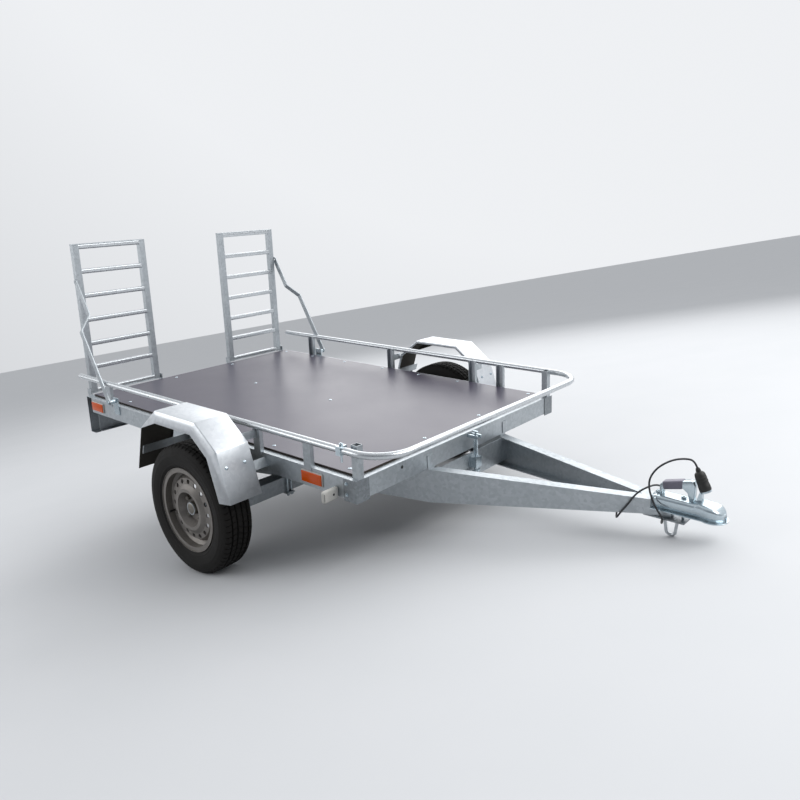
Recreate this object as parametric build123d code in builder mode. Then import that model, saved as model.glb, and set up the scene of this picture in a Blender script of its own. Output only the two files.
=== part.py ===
from build123d import *
from math import asin, atan, atan2, cos, degrees, hypot, pi, radians, sin, tan
import os

# A single-axle tipping utility trailer with a flat deck, a guard rail and two loading ramps,
# parked with its nose on the rest loop below the coupling. Millimetres.
#
# The trailer is drawn level: x runs forward from the front face of the deck frame, y runs to
# the trailer's left and z runs up from the top of the deck frame. Every sketch stands on a plane
# made from the deck plane, so one attitude, worked out from the wheels and the rest loop,
# lays the whole trailer down on the ground.

os.makedirs("parts", exist_ok=True)

SIDES = (("right", -1), ("left", 1))

# ---------------------------------------------------------------- driving sizes

# Deck frame
deck_length = 2040.0
deck_width = 1370.0
beam_height = 80.0
beam_flange = 40.0
beam_wall = 2.5
rear_beam_height = 197.0
rear_beam_flange = 50.0
rear_beam_wall = 2.0
cross_member_height = 60.0
cross_member_flange = 30.0
cross_member_wall = 1.5
front_member_count = 2
rear_member_count = 3
rear_stiffener_reach = 115.0
rear_stiffener_height = 172.0
floor_thickness = 9.0
floor_inset = 30.0

# Corners and guard rail
corner_plate_reach = 68.0
corner_plate_height = 88.0
corner_plate_wall = 3.0
corner_post_side = 30.0
corner_post_wall = 2.0
corner_post_top = 131.0
corner_post_inset = 12.0
rail_diameter = 26.9
rail_wall = 2.3
rail_height = 116.0
rail_front_reach = 162.0
rail_bend_radius = 142.0
post_width = 42.0
post_depth = 15.0
post_wall = 3.0
post_lap = 14.0
post_front_reach = {"right": 259.0, "left": 300.0}
post_ahead_of_axle = {"right": 230.0, "left": 319.0}
post_behind_axle = 277.0
post_rear_reach = {"right": 253.0, "left": 272.0}

# Running gear
axle_x = -797.0
axle_z = -246.0
wheel_gap = 151.0
tyre_radius = 281.0
tyre_width = 145.0
tyre_side_wall = 9.0
tyre_tread_wall = 11.5
tyre_tread_width = 99.0
tyre_shoulder_width = 122.0
tyre_shoulder_drop = 8.5
tyre_crown_drop = 1.5
tyre_bead_width = 10.0
rim_seat_radius = 165.1
rim_flange_radius = 182.5
rim_width = 128.0
rim_wall = 3.0
rim_drop_radius = 150.0
rim_drop_width = 44.0
rim_drop_slope = 10.0
rim_bead_inset = 6.0
wheel_face_offset = 22.0
wheel_disc_wall = 4.0
wheel_bore_radius = 30.0
disc_rise = 35.0
disc_shelf_rise = 21.0
disc_edge_drop = 2.0
disc_step = 2.0
disc_ridge_inner = 76.0
disc_ridge_outer = 90.0
disc_shelf_inner = 108.0
disc_shelf_outer = 132.0
vent_count = 16
vent_radius = 120.0
vent_size = (19.0, 20.0)
stud_circle = 100.0
stud_count = 4
stud_turn = 45.0
stud_diameter = 12.0
stud_hole_clearance = 1.0
stud_length = 20.0
hub_flange_radius = 60.0
hub_flange_wall = 9.0
hub_barrel_radius = 36.0
hub_barrel_length = 52.0
hub_cap_radius = 27.0
hub_cap_length = 26.0
stub_diameter = 30.0
swing_arm_length = 84.0
swing_arm_wall = 16.0
swing_arm_end_radius = 32.0
swing_arm_gap = 21.0
axle_tube_side = 70.0
axle_tube_wall = 4.0
running_clearance = 0.05

# Mudguards
mudguard_gap = 73.0
mudguard_width = 153.0
mudguard_wall = 1.5
mudguard_top = 165.0
mudguard_knee = 69.0
mudguard_foot = -133.0
mudguard_top_reach = 145.0
mudguard_knee_reach = 271.0
mudguard_foot_reach = 337.0
mudguard_outer_lip = 49.0
mudguard_lip_flare = 16.0
mudguard_inner_lip = 15.0
stay_width = 40.0
stay_wall = 4.0
stay_gap = 1.0

# Drawbar
arm_spread = 274.0
arm_clearance = 6.0
arm_wall = 5.0
arm_flange = 44.0
arm_height_front_beam = 142.0
arm_height_nose = 60.0
arm_nose_reach = 68.0
arm_taper_reach = 32.0
arm_tail_reach = 30.0
drawbar_cross_x = 14.0
drawbar_cross_wall = 5.0
drawbar_cross_height = 112.0
drawbar_cross_flange = 36.0

# Tilt hinge
hinge_reach = 108.0
hinge_drop = 42.0
hinge_tube_diameter = 48.3
hinge_tube_wall = 4.0
hinge_lug_width = 30.0
hinge_lug_spot = 400.0
hinge_lug_wall = 12.0

# Coupling
coupling_rear = 832.0
coupling_length = 253.0
coupling_inner_half = 32.72
coupling_top = -67.0
coupling_height = 51.0
coupling_nose_radius = 43.0
coupling_nose_drop = 18.0
coupling_brow = 27.0
coupling_wall = 4.0
coupling_lip = 8.0
ball_radius = 25.0
ball_clearance = 0.4
ball_seat_depth = 25.0
ball_seat_height = 28.0
handle_width = 28.0
handle_outline = ((22, 0), (22, 37), (31, 48), (129, 74), (141, 72), (147, 58), (144, 0))
handle_window = ((32, 0), (33, 17), (100, 34), (121, 22), (128, 0))
nose_plate_wall = 6.0
nose_plate_rear_reach = 27.0
nose_plate_front_reach = 123.0
nose_plate_half_width = 33.0
rest_rod_diameter = 12.0
rest_loop_depth = 70.0
rest_loop_top_spread = 50.0
rest_loop_bottom_spread = 30.0
rest_loop_bend = 14.0
rest_loop_reach = 64.0

# Deck latch
latch_rod_x = 34.0
latch_rod_diameter = 8.0
latch_fork_gap = 16.0
latch_fork_wall = 8.0
latch_fork_reach = 54.0
latch_fork_top = -6.0
latch_fork_height = 14.0
latch_bracket_width = 40.0
latch_bracket_height = 46.0
latch_bracket_top = -104.0
latch_bracket_margin = 16.0
latch_knob_width = 24.0
rest_pad_side = 40.0
rest_pad_clearance = 0.5

# Ramps
ramp_edge_gap = 38.0
ramp_width = 403.0
ramp_height = 796.0
ramp_bottom = 5.0
ramp_depth = 30.0
ramp_stile = 32.0
ramp_wall = 1.5
rung_height = 26.0
rung_depth = 20.0
rung_count = 7
ramp_gap = 9.0
ramp_pin_height = 17.0
ramp_pin_diameter = 14.0
ramp_ear_wall = 6.0
ramp_ear_gap = 5.0

# Struts
strut_width = 30.0
strut_wall = 5.0
strut_top_reach = 10.0
strut_top_height = 608.0
strut_foot_reach = 325.0
strut_foot_height = 28.0
strut_jog_top = 440.0
strut_jog_bottom = 370.0
strut_ramp_gap = 5.0
strut_rail_gap = 7.1
strut_pin_diameter = 12.0
strut_pin_head = 22.0
strut_pin_play = 0.5
strut_plate_width = 50.0
strut_plate_wall = 5.0
strut_plate_bottom = -45.0
strut_plate_margin = 4.0

# Lamps
marker_length = 120.0
marker_height = 50.0
marker_wall = 9.0
marker_centre_z = -40.0
marker_front_reach = 237.0
marker_rear_reach = 122.0
front_lamp_length = 76.0
front_lamp_height = 48.0
front_lamp_wall = 22.0
front_lamp_reach = 92.0
front_lamp_z = -64.0
tail_lamp_length = 180.0
tail_lamp_height = 80.0
tail_lamp_wall = 28.0
tail_lamp_gap = 125.0
tail_lamp_z = -145.0

# Plug and cable
plug_tail = (152.0, 111.0)
plug_mouth = (180.0, 47.0)
plug_radius = 21.0
plug_neck_radius = 9.0
plug_neck_length = 14.0
holder_wall = 6.0
holder_inset = 2.0
holder_width = 20.0
holder_foot = (150.0, 172.0)
cable_diameter = 7.0
cable_clip_front = (636.0, -54.0, -122.0)
cable_clip_length = 20.0
cable_clip_side = 22.0
cable_tail = 26.0
cable_bend_share = 0.45
cable_middle = (
    (666.0, -51.0, -122.0),
    (684.0, -24.0, -132.0),
    (693.0, -10.0, -160.0),
    (702.0, -34.0, -186.0),
    (718.0, -66.0, -176.0),
    (734.0, -69.0, -149.0),
    (762.0, -60.0, -108.0),
    (778.0, -56.0, -78.0),
    (800.0, -48.0, -54.0),
    (820.0, -20.0, -43.0),
    (832.0, 16.0, -46.0),
    (842.0, 48.0, -64.0),
    (849.0, 60.0, -98.0),
    (852.0, 54.0, -140.0),
    (856.0, 22.0, -174.0),
    (866.0, -18.0, -182.0),
    (884.0, -50.0, -166.0),
    (886.0, -57.0, -134.0),
    (860.0, -54.0, -106.0),
    (842.0, -52.0, -72.0),
    (829.0, -47.0, -40.0),
    (824.0, -35.0, -8.0),
    (838.0, -16.0, 24.0),
    (866.0, -5.0, 50.0),
    (900.0, 0.0, 70.0),
    (938.0, 0.0, 81.0),
)

# Small hardware
coupling_bolt_reaches = (10.0, 106.0)
coupling_bolt_diameter = 10.0
coupling_bolt_head = 18.0
coupling_bolt_head_height = 8.0
clamp_reach = 50.0
clamp_length = 24.0
clamp_wall = 4.0
clamp_bolt_diameter = 8.0
clamp_bolt_drop = 30.0
floor_corner_clearance = 1.0


# ---------------------------------------------------------------- places that follow from them

half_width = deck_width / 2
post_outer = half_width + post_wall
rail_y = post_outer + rail_diameter / 2
wheel_offset = half_width + wheel_gap
swing_arm_offset = half_width + swing_arm_gap
mudguard_inner = half_width + mudguard_gap
mudguard_outer = mudguard_inner + mudguard_width
ramp_outer = half_width - ramp_edge_gap
ramp_inner = ramp_outer - ramp_width
strut_inner_face = ramp_outer + strut_ramp_gap
strut_outer_face = rail_y + rail_diameter / 2 + strut_rail_gap
strut_top = (-deck_length - strut_top_reach, strut_top_height)
strut_foot = (-deck_length + strut_foot_reach, strut_foot_height)
tail_lamp_spot = half_width - tail_lamp_gap

arm_slope = (arm_spread - coupling_inner_half) / coupling_rear
arm_top = -beam_height - arm_clearance
arm_nose_x = coupling_rear + arm_nose_reach
arm_taper_end_x = coupling_rear - arm_taper_reach
hinge_x = axle_x - hinge_reach
hinge_z = arm_top - hinge_drop
arm_tail_x = hinge_x - arm_tail_reach
coupling_tip = coupling_rear + coupling_length
coupling_bottom = coupling_top - coupling_height
nose_plate_rear = coupling_rear - nose_plate_rear_reach
nose_plate_front = coupling_rear + nose_plate_front_reach
rest_loop_x = coupling_rear + rest_loop_reach
plug_top = (coupling_rear + plug_tail[0], coupling_top + plug_tail[1])
plug_bottom = (coupling_rear + plug_mouth[0], coupling_top + plug_mouth[1])

# ---------------------------------------------------------------- the parked attitude

loop_bottom_z = arm_top - arm_height_nose - nose_plate_wall - rest_loop_depth
loop_arc_radius = rest_loop_bend + rest_rod_diameter / 2
loop_leg_lean = atan2((rest_loop_top_spread - rest_loop_bottom_spread) / 2, rest_loop_depth)
loop_tangent = rest_loop_bend * tan((pi / 2 - loop_leg_lean) / 2)
loop_arc_x = rest_loop_x + rest_loop_bottom_spread / 2 - loop_tangent
loop_reach = loop_arc_x - axle_x
loop_rise = loop_bottom_z + loop_arc_radius - axle_z
centre_distance = hypot(loop_reach, loop_rise)
park_angle = atan2(loop_rise, loop_reach) + asin((tyre_radius - loop_arc_radius) / centre_distance)

cos_park = cos(park_angle)
sin_park = sin(park_angle)


def parked(x, z):
    """Turn a level point about the deck origin into the parked attitude."""
    return x * cos_park + z * sin_park, z * cos_park - x * sin_park


deck_rise = tyre_radius - parked(axle_x, axle_z)[1]
nose_reach = parked(coupling_tip + coupling_lip, coupling_bottom + coupling_wall)[0]
tail_reach = parked(-deck_length - tail_lamp_wall, tail_lamp_z - tail_lamp_height / 2)[0]
deck_shift = -(nose_reach + tail_reach) / 2

deck = Plane(
    origin=(deck_shift, 0, deck_rise),
    x_dir=(cos_park, 0, -sin_park),
    z_dir=(sin_park, 0, cos_park),
)
print("park angle", round(degrees(park_angle), 4), "deck origin", round(deck_shift, 3), round(deck_rise, 3))


def level_at(z):
    """A plane seen from above at height z: x forward, y left."""
    return deck.offset(z)


def side_at(y):
    """A plane seen from the trailer's right at y: x forward, second axis up."""
    spot = deck.from_local_coords(Vector(0, y, 0))
    return Plane(origin=spot, x_dir=deck.x_dir, z_dir=-deck.y_dir)


def cross_at(x):
    """A plane seen from the front at x: first axis left, second axis up."""
    spot = deck.from_local_coords(Vector(x, 0, 0))
    return Plane(origin=spot, x_dir=deck.y_dir, z_dir=deck.x_dir)


def write(part, name):
    """Label one finished piece and write it as its own file."""
    part.label = name
    export_step(part, f"parts/{name}.step")


# ---------------------------------------------------------------- deck frame

side_beam_front = -beam_flange
side_beam_rear = -deck_length + rear_beam_flange

for side, s in SIDES:
    with BuildPart() as side_beam:
        with BuildSketch(cross_at(side_beam_front)):
            with Locations((s * (half_width - beam_flange / 2), -beam_height / 2)):
                Rectangle(beam_flange, beam_height)
            with Locations((s * (half_width - beam_wall - beam_flange / 2), -beam_height / 2)):
                Rectangle(beam_flange, beam_height - 2 * beam_wall, mode=Mode.SUBTRACT)
        extrude(amount=side_beam_rear - side_beam_front)
    write(side_beam.part, f"side_beam_{side}")

with BuildPart() as front_beam:
    with BuildSketch(side_at(0)):
        with Locations((-beam_flange / 2, -beam_height / 2)):
            Rectangle(beam_flange, beam_height)
        with Locations((-beam_flange / 2 - beam_wall, -beam_height / 2)):
            Rectangle(beam_flange, beam_height - 2 * beam_wall, mode=Mode.SUBTRACT)
    extrude(amount=half_width, both=True)
write(front_beam.part, "front_beam")

rear_beam_x = -deck_length + rear_beam_flange / 2
with BuildPart() as rear_beam:
    with BuildSketch(side_at(0)):
        with Locations((rear_beam_x, -rear_beam_height / 2)):
            Rectangle(rear_beam_flange, rear_beam_height)
        with Locations((rear_beam_x + rear_beam_wall, -rear_beam_height / 2)):
            Rectangle(rear_beam_flange, rear_beam_height - 2 * rear_beam_wall, mode=Mode.SUBTRACT)
    extrude(amount=half_width, both=True)
write(rear_beam.part, "rear_beam")

member_half = half_width - beam_wall
rear_stiffener_spot = -deck_length + rear_stiffener_reach
front_pitch = (hinge_x - side_beam_front) / (front_member_count + 1)
rear_pitch = (rear_stiffener_spot - hinge_x) / (rear_member_count + 1)
member_spots = (
    *[side_beam_front + index * front_pitch for index in range(1, front_member_count + 1)],
    *[hinge_x + index * rear_pitch for index in range(rear_member_count + 1)],
)


with BuildPart() as cross_members:
    with BuildSketch(side_at(0)):
        for spot in member_spots:
            with Locations((spot, -cross_member_height / 2)):
                Rectangle(cross_member_flange, cross_member_height)
            with Locations((spot + cross_member_wall, -cross_member_height / 2)):
                Rectangle(
                    cross_member_flange,
                    cross_member_height - 2 * cross_member_wall,
                    mode=Mode.SUBTRACT,
                )
    extrude(amount=member_half, both=True)
    with BuildSketch(cross_at(side_beam_front)):
        for s in (-1, 1):
            with Locations((s * (half_width - beam_flange / 2), -beam_wall / 2)):
                Rectangle(beam_flange, beam_wall)
    extrude(amount=side_beam_rear - side_beam_front, mode=Mode.SUBTRACT)
write(cross_members.part, "cross_members")

with BuildPart() as rear_stiffener:
    with BuildSketch(side_at(0)):
        with Locations((rear_stiffener_spot, -rear_stiffener_height / 2)):
            Rectangle(cross_member_flange, rear_stiffener_height)
        with Locations((rear_stiffener_spot + cross_member_wall, -rear_stiffener_height / 2)):
            Rectangle(
                cross_member_flange,
                rear_stiffener_height - 2 * cross_member_wall,
                mode=Mode.SUBTRACT,
            )
    extrude(amount=member_half, both=True)
    with BuildSketch(cross_at(side_beam_front)):
        for s in (-1, 1):
            for edge in (beam_wall / 2, beam_height - beam_wall / 2):
                with Locations((s * (half_width - beam_flange / 2), -edge)):
                    Rectangle(beam_flange, beam_wall)
    extrude(amount=side_beam_rear - side_beam_front, mode=Mode.SUBTRACT)
write(rear_stiffener.part, "rear_stiffener")

with BuildPart() as floor_panel:
    with BuildSketch(level_at(0)):
        with Locations((-deck_length / 2, 0)):
            Rectangle(deck_length - 2 * floor_inset, deck_width - 2 * floor_inset)
    extrude(amount=floor_thickness)
write(floor_panel.part, "floor_panel")

# ---------------------------------------------------------------- corners, posts and guard rail

plate_mid = corner_plate_reach / 2
with BuildPart() as corner_plates:
    for side, s in SIDES:
        with BuildSketch(level_at(-corner_plate_height)):
            outer_y = half_width - plate_mid + corner_plate_wall
            with Locations((corner_plate_wall - plate_mid, s * outer_y)):
                Rectangle(corner_plate_reach, corner_plate_reach)
            with Locations((-plate_mid, s * (half_width - plate_mid))):
                Rectangle(corner_plate_reach, corner_plate_reach, mode=Mode.SUBTRACT)
        extrude(amount=corner_plate_height)
write(corner_plates.part, "corner_plates")

post_bore = corner_post_side - 2 * corner_post_wall
corner_post_x = corner_post_side / 2 - floor_inset + floor_corner_clearance
with BuildPart() as corner_posts:
    for side, s in SIDES:
        with BuildSketch(level_at(0)):
            post_mid = half_width - corner_post_inset - corner_post_side / 2
            with Locations((corner_post_x, s * post_mid)):
                Rectangle(corner_post_side, corner_post_side)
                Rectangle(post_bore, post_bore, mode=Mode.SUBTRACT)
        extrude(amount=corner_post_top)
write(corner_posts.part, "corner_posts")

for side, s in SIDES:
    post_spots = (
        -post_front_reach[side],
        axle_x + post_ahead_of_axle[side],
        axle_x - post_behind_axle,
        -deck_length + post_rear_reach[side],
    )
    cheek_y = s * (half_width - post_depth / 2)
    with BuildPart() as rail_posts:
        for spot in post_spots:
            with BuildSketch(level_at(-post_lap)):
                with Locations((spot, s * (post_outer - post_wall / 2))):
                    Rectangle(post_width, post_wall)
            extrude(amount=post_lap + rail_height)
            with BuildSketch(level_at(0)):
                for edge in (-1, 1):
                    with Locations((spot + edge * (post_width - post_wall) / 2, cheek_y)):
                        Rectangle(post_wall, post_depth)
            extrude(amount=rail_height)
    write(rail_posts.part, f"rail_posts_{side}")

with BuildPart() as guard_rail:
    with BuildLine(level_at(rail_height)) as rail_path:
        FilletPolyline(
            (-deck_length, -rail_y),
            (rail_front_reach, -rail_y),
            (rail_front_reach, rail_y),
            (-deck_length, rail_y),
            radius=rail_bend_radius,
        )
    with BuildSketch(cross_at(-deck_length)):
        with Locations((-rail_y, rail_height)):
            Circle(rail_diameter / 2)
            Circle(rail_diameter / 2 - rail_wall, mode=Mode.SUBTRACT)
    sweep(path=rail_path.line)
write(guard_rail.part, "guard_rail")

# ---------------------------------------------------------------- mudguards


slope_turn = atan2(mudguard_top - mudguard_knee, mudguard_knee_reach - mudguard_top_reach)
foot_turn = atan2(mudguard_knee - mudguard_foot, mudguard_foot_reach - mudguard_knee_reach)
knee_turn = (slope_turn + foot_turn) / 2
knee_stretch = 1 / cos((foot_turn - slope_turn) / 2)


def mudguard_line(inset):
    """The five-sided mudguard outline from foot to foot, each side moved inward by an inset."""
    half_line = (
        (mudguard_foot_reach - inset / sin(foot_turn), mudguard_foot),
        (
            mudguard_knee_reach - inset * knee_stretch * sin(knee_turn),
            mudguard_knee - inset * knee_stretch * cos(knee_turn),
        ),
        (mudguard_top_reach - inset * tan(slope_turn / 2), mudguard_top - inset),
    )
    return (
        *[(axle_x - reach, height) for reach, height in half_line],
        *[(axle_x + reach, height) for reach, height in reversed(half_line)],
    )


def mudguard_band(inset):
    """Sketch the band between the outer outline and the same outline moved inward."""
    Polygon(*mudguard_line(0), *reversed(mudguard_line(inset)), align=None)


def lip_panels(s):
    """The flared outer lip: one panel along the top, two down the front, and a corner at the rear."""
    fold = [Vector(x, s * mudguard_outer, z) for x, z in mudguard_line(0)]
    hem = [Vector(x, s * (mudguard_outer + mudguard_lip_flare), z) for x, z in mudguard_line(mudguard_outer_lip)]
    _, rear_knee, rear_top, front_top, front_knee, front_foot = zip(fold, hem)
    whole = [(a[0], b[0], b[1], a[1]) for a, b in (
        (rear_top, front_top), (front_top, front_knee), (front_knee, front_foot))]
    return [*whole, (rear_knee[0], rear_top[0], rear_top[1])]


for side, s in SIDES:
    with BuildPart() as mudguard:
        with BuildSketch(side_at(s * mudguard_inner)):
            mudguard_band(mudguard_wall)
        extrude(amount=-s * (mudguard_outer - mudguard_inner))
        for panel in lip_panels(s):
            corners = [deck.from_local_coords(corner) for corner in panel]
            along = corners[1] - corners[0]
            outward = (corners[-1] - corners[0]).cross(along) * -s
            panel_plane = Plane(origin=corners[0], x_dir=along, z_dir=outward)
            with BuildSketch(panel_plane):
                Polygon(*[tuple(panel_plane.to_local_coords(corner))[:2] for corner in corners], align=None)
            extrude(amount=-mudguard_wall)
        with BuildSketch(side_at(s * mudguard_inner)):
            mudguard_band(mudguard_inner_lip)
        extrude(amount=-s * mudguard_wall)
    write(mudguard.part, f"mudguard_{side}")

stay_height = -post_lap - stay_gap
foot_slope = 1 / tan(foot_turn)
foot_angle = degrees(atan(foot_slope))
stay_reach = mudguard_foot_reach - foot_slope * (stay_height - mudguard_foot) - mudguard_inner_lip - stay_wall
with BuildPart() as mudguard_stays:
    for side, s in SIDES:
        for end in (-1, 1):
            with BuildSketch(side_at(s * half_width)):
                with Locations((axle_x + end * stay_reach, stay_height - stay_width / 2)):
                    Rectangle(stay_wall, stay_width, rotation=end * foot_angle)
            extrude(amount=-s * (mudguard_outer - mudguard_wall - half_width))
write(mudguard_stays.part, "mudguard_stays")

# ---------------------------------------------------------------- drawbar

arm_angle = atan(arm_slope)
axle_tube_x = axle_x + swing_arm_length
axle_tube_top = axle_z + axle_tube_side / 2


def arm_plane(s):
    """The outer face of one drawbar arm: first axis forward along the arm, second axis up."""
    along = deck.x_dir * cos(arm_angle) - deck.y_dir * (s * sin(arm_angle))
    normal = -deck.x_dir * (s * sin(arm_angle)) - deck.y_dir * cos(arm_angle)
    return Plane(origin=deck.from_local_coords(Vector(0, s * arm_spread, 0)), x_dir=along, z_dir=normal)


def arm_outline(inset):
    """The arm's side view, deepest under the front beam, moved inward at top and bottom."""
    tail = arm_tail_x / cos(arm_angle)
    nose = arm_nose_x / cos(arm_angle)
    return (
        (tail, arm_top - inset),
        (nose, arm_top - inset),
        (nose, arm_top - arm_height_nose + inset),
        (arm_taper_end_x / cos(arm_angle), arm_top - arm_height_nose + inset),
        (0, arm_top - arm_height_front_beam + inset),
        ((axle_tube_x + axle_tube_side) / cos(arm_angle), axle_tube_top + inset),
        (tail, axle_tube_top + inset),
    )


for side, s in SIDES:
    with BuildPart() as drawbar_arm:
        with BuildSketch(arm_plane(s)):
            Polygon(*arm_outline(0), align=None)
        extrude(amount=s * arm_flange)
        with BuildSketch(arm_plane(s).offset(s * arm_wall)):
            Polygon(*arm_outline(arm_wall), align=None)
        extrude(amount=s * arm_flange, mode=Mode.SUBTRACT)
        split(bisect_by=side_at(0), keep=Keep.TOP if s < 0 else Keep.BOTTOM)
        with BuildSketch(level_at(arm_top)):
            for reach in coupling_bolt_reaches:
                with Locations((coupling_rear + reach, 0)):
                    Circle(coupling_bolt_diameter / 2 + running_clearance)
        extrude(amount=arm_height_front_beam, both=True, mode=Mode.SUBTRACT)
    write(drawbar_arm.part, f"drawbar_arm_{side}")

arm_web = arm_wall / cos(arm_angle)
cross_half = arm_spread - arm_slope * drawbar_cross_x - arm_web
cross_top = arm_top - arm_wall
cross_bottom = cross_top - drawbar_cross_height
with BuildPart() as drawbar_cross_member:
    with BuildSketch(side_at(0)):
        with Locations((drawbar_cross_x - drawbar_cross_wall / 2, cross_top - drawbar_cross_height / 2)):
            Rectangle(drawbar_cross_wall, drawbar_cross_height)
        with Locations((drawbar_cross_x - drawbar_cross_flange / 2, cross_bottom + drawbar_cross_wall / 2)):
            Rectangle(drawbar_cross_flange, drawbar_cross_wall)
    extrude(amount=cross_half, both=True)
write(drawbar_cross_member.part, "drawbar_cross_member")

# ---------------------------------------------------------------- tilt hinge

hinge_tube_half = arm_spread - arm_slope * (hinge_x + hinge_tube_diameter / 2) - arm_web
with BuildPart() as tilt_hinge_tube:
    with BuildSketch(side_at(0)):
        with Locations((hinge_x, hinge_z)):
            Circle(hinge_tube_diameter / 2)
            Circle(hinge_tube_diameter / 2 - hinge_tube_wall, mode=Mode.SUBTRACT)
    extrude(amount=hinge_tube_half, both=True)
write(tilt_hinge_tube.part, "tilt_hinge_tube")

lug_bore = hinge_tube_diameter / 2 + running_clearance
lug_radius = lug_bore + hinge_lug_wall
with BuildPart() as tilt_hinge_lugs:
    for side, s in SIDES:
        with BuildSketch(side_at(s * hinge_lug_spot)):
            with Locations((hinge_x, hinge_z)):
                Circle(lug_radius)
            with Locations((hinge_x, (hinge_z - cross_member_height) / 2)):
                Rectangle(2 * hinge_lug_width, -hinge_z - cross_member_height)
            with Locations((hinge_x, hinge_z)):
                Circle(lug_bore, mode=Mode.SUBTRACT)
        extrude(amount=hinge_lug_width / 2, both=True)
write(tilt_hinge_lugs.part, "tilt_hinge_lugs")

# ---------------------------------------------------------------- axle, swing arms and wheels

axle_tube_bore = axle_tube_side - 2 * axle_tube_wall
with BuildPart() as axle_tube:
    with BuildSketch(side_at(0)):
        with Locations((axle_tube_x, axle_z)):
            Rectangle(axle_tube_side, axle_tube_side)
            Rectangle(axle_tube_bore, axle_tube_bore, mode=Mode.SUBTRACT)
    extrude(amount=swing_arm_offset, both=True)
write(axle_tube.part, "axle_tube")

disc_face = wheel_offset + wheel_face_offset
hub_face = disc_face - wheel_disc_wall
hub_inner = hub_face - hub_flange_wall - hub_barrel_length
stub_length = hub_face + hub_cap_length / 2 - swing_arm_offset - swing_arm_wall

for side, s in SIDES:
    with BuildPart() as swing_arm:
        with BuildSketch(side_at(s * swing_arm_offset)):
            with Locations(((axle_tube_x + axle_x) / 2, axle_z)):
                SlotCenterToCenter(swing_arm_length, 2 * swing_arm_end_radius)
        extrude(amount=-s * swing_arm_wall)
        with BuildSketch(side_at(s * (swing_arm_offset + swing_arm_wall))):
            with Locations((axle_x, axle_z)):
                Circle(stub_diameter / 2)
        extrude(amount=-s * stub_length)
    write(swing_arm.part, f"swing_arm_{side}")


def wheel_plane(s):
    """A plane through the wheel's axis: first axis outboard from the trailer's middle, second axis up."""
    spot = deck.from_local_coords(Vector(axle_x, 0, axle_z))
    return Plane(origin=spot, x_dir=deck.y_dir * s, z_dir=deck.x_dir * s)


wheel_axis = Axis(deck.from_local_coords(Vector(axle_x, 0, axle_z)), deck.y_dir)
bead_half = rim_width / 2 - rim_bead_inset


def rim_outline(inset):
    """Half of the rim's section, from the drop to the flange, moved inward by an inset."""
    return (
        (rim_drop_width / 2, rim_drop_radius - inset),
        (rim_drop_width / 2 + rim_drop_slope, rim_seat_radius - inset),
        (bead_half + inset, rim_seat_radius - inset),
        (bead_half + inset, rim_flange_radius - inset / 2),
        (rim_width / 2, rim_flange_radius - inset / 2),
    )


def disc_outline():
    """The dished disc's section, from its rim edge to the bore along the outer face and back."""
    inner_edge = rim_drop_radius - rim_wall
    outer_face = (
        (disc_face - disc_edge_drop, inner_edge),
        (disc_face + disc_shelf_rise - disc_step, disc_shelf_outer),
        (disc_face + disc_shelf_rise + disc_step, disc_shelf_inner),
        (disc_face + disc_rise, disc_ridge_outer),
        (disc_face + disc_rise, disc_ridge_inner),
        (disc_face, hub_flange_radius),
        (disc_face, wheel_bore_radius),
    )
    inner_face = (
        (disc_face - wheel_disc_wall, wheel_bore_radius),
        (disc_face - wheel_disc_wall, hub_flange_radius + disc_step),
        (disc_face + disc_rise - wheel_disc_wall, disc_ridge_inner + disc_step),
        (disc_face + disc_rise - wheel_disc_wall, disc_ridge_outer - disc_step),
        (disc_face + disc_shelf_rise + disc_step - wheel_disc_wall, disc_shelf_inner - disc_step),
        (disc_face + disc_shelf_rise - disc_step - wheel_disc_wall, disc_shelf_outer - disc_step),
        (disc_face - disc_edge_drop - wheel_disc_wall, inner_edge),
    )
    return outer_face + inner_face


rim_section = (
    *[(wheel_offset - w, r) for w, r in reversed(rim_outline(0))],
    *[(wheel_offset + w, r) for w, r in rim_outline(0)],
    *[(wheel_offset + w, r) for w, r in reversed(rim_outline(rim_wall))],
    *disc_outline(),
    *[(wheel_offset - w, r) for w, r in rim_outline(rim_wall)],
)

side_mid = (rim_flange_radius + tyre_radius) / 2

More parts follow.
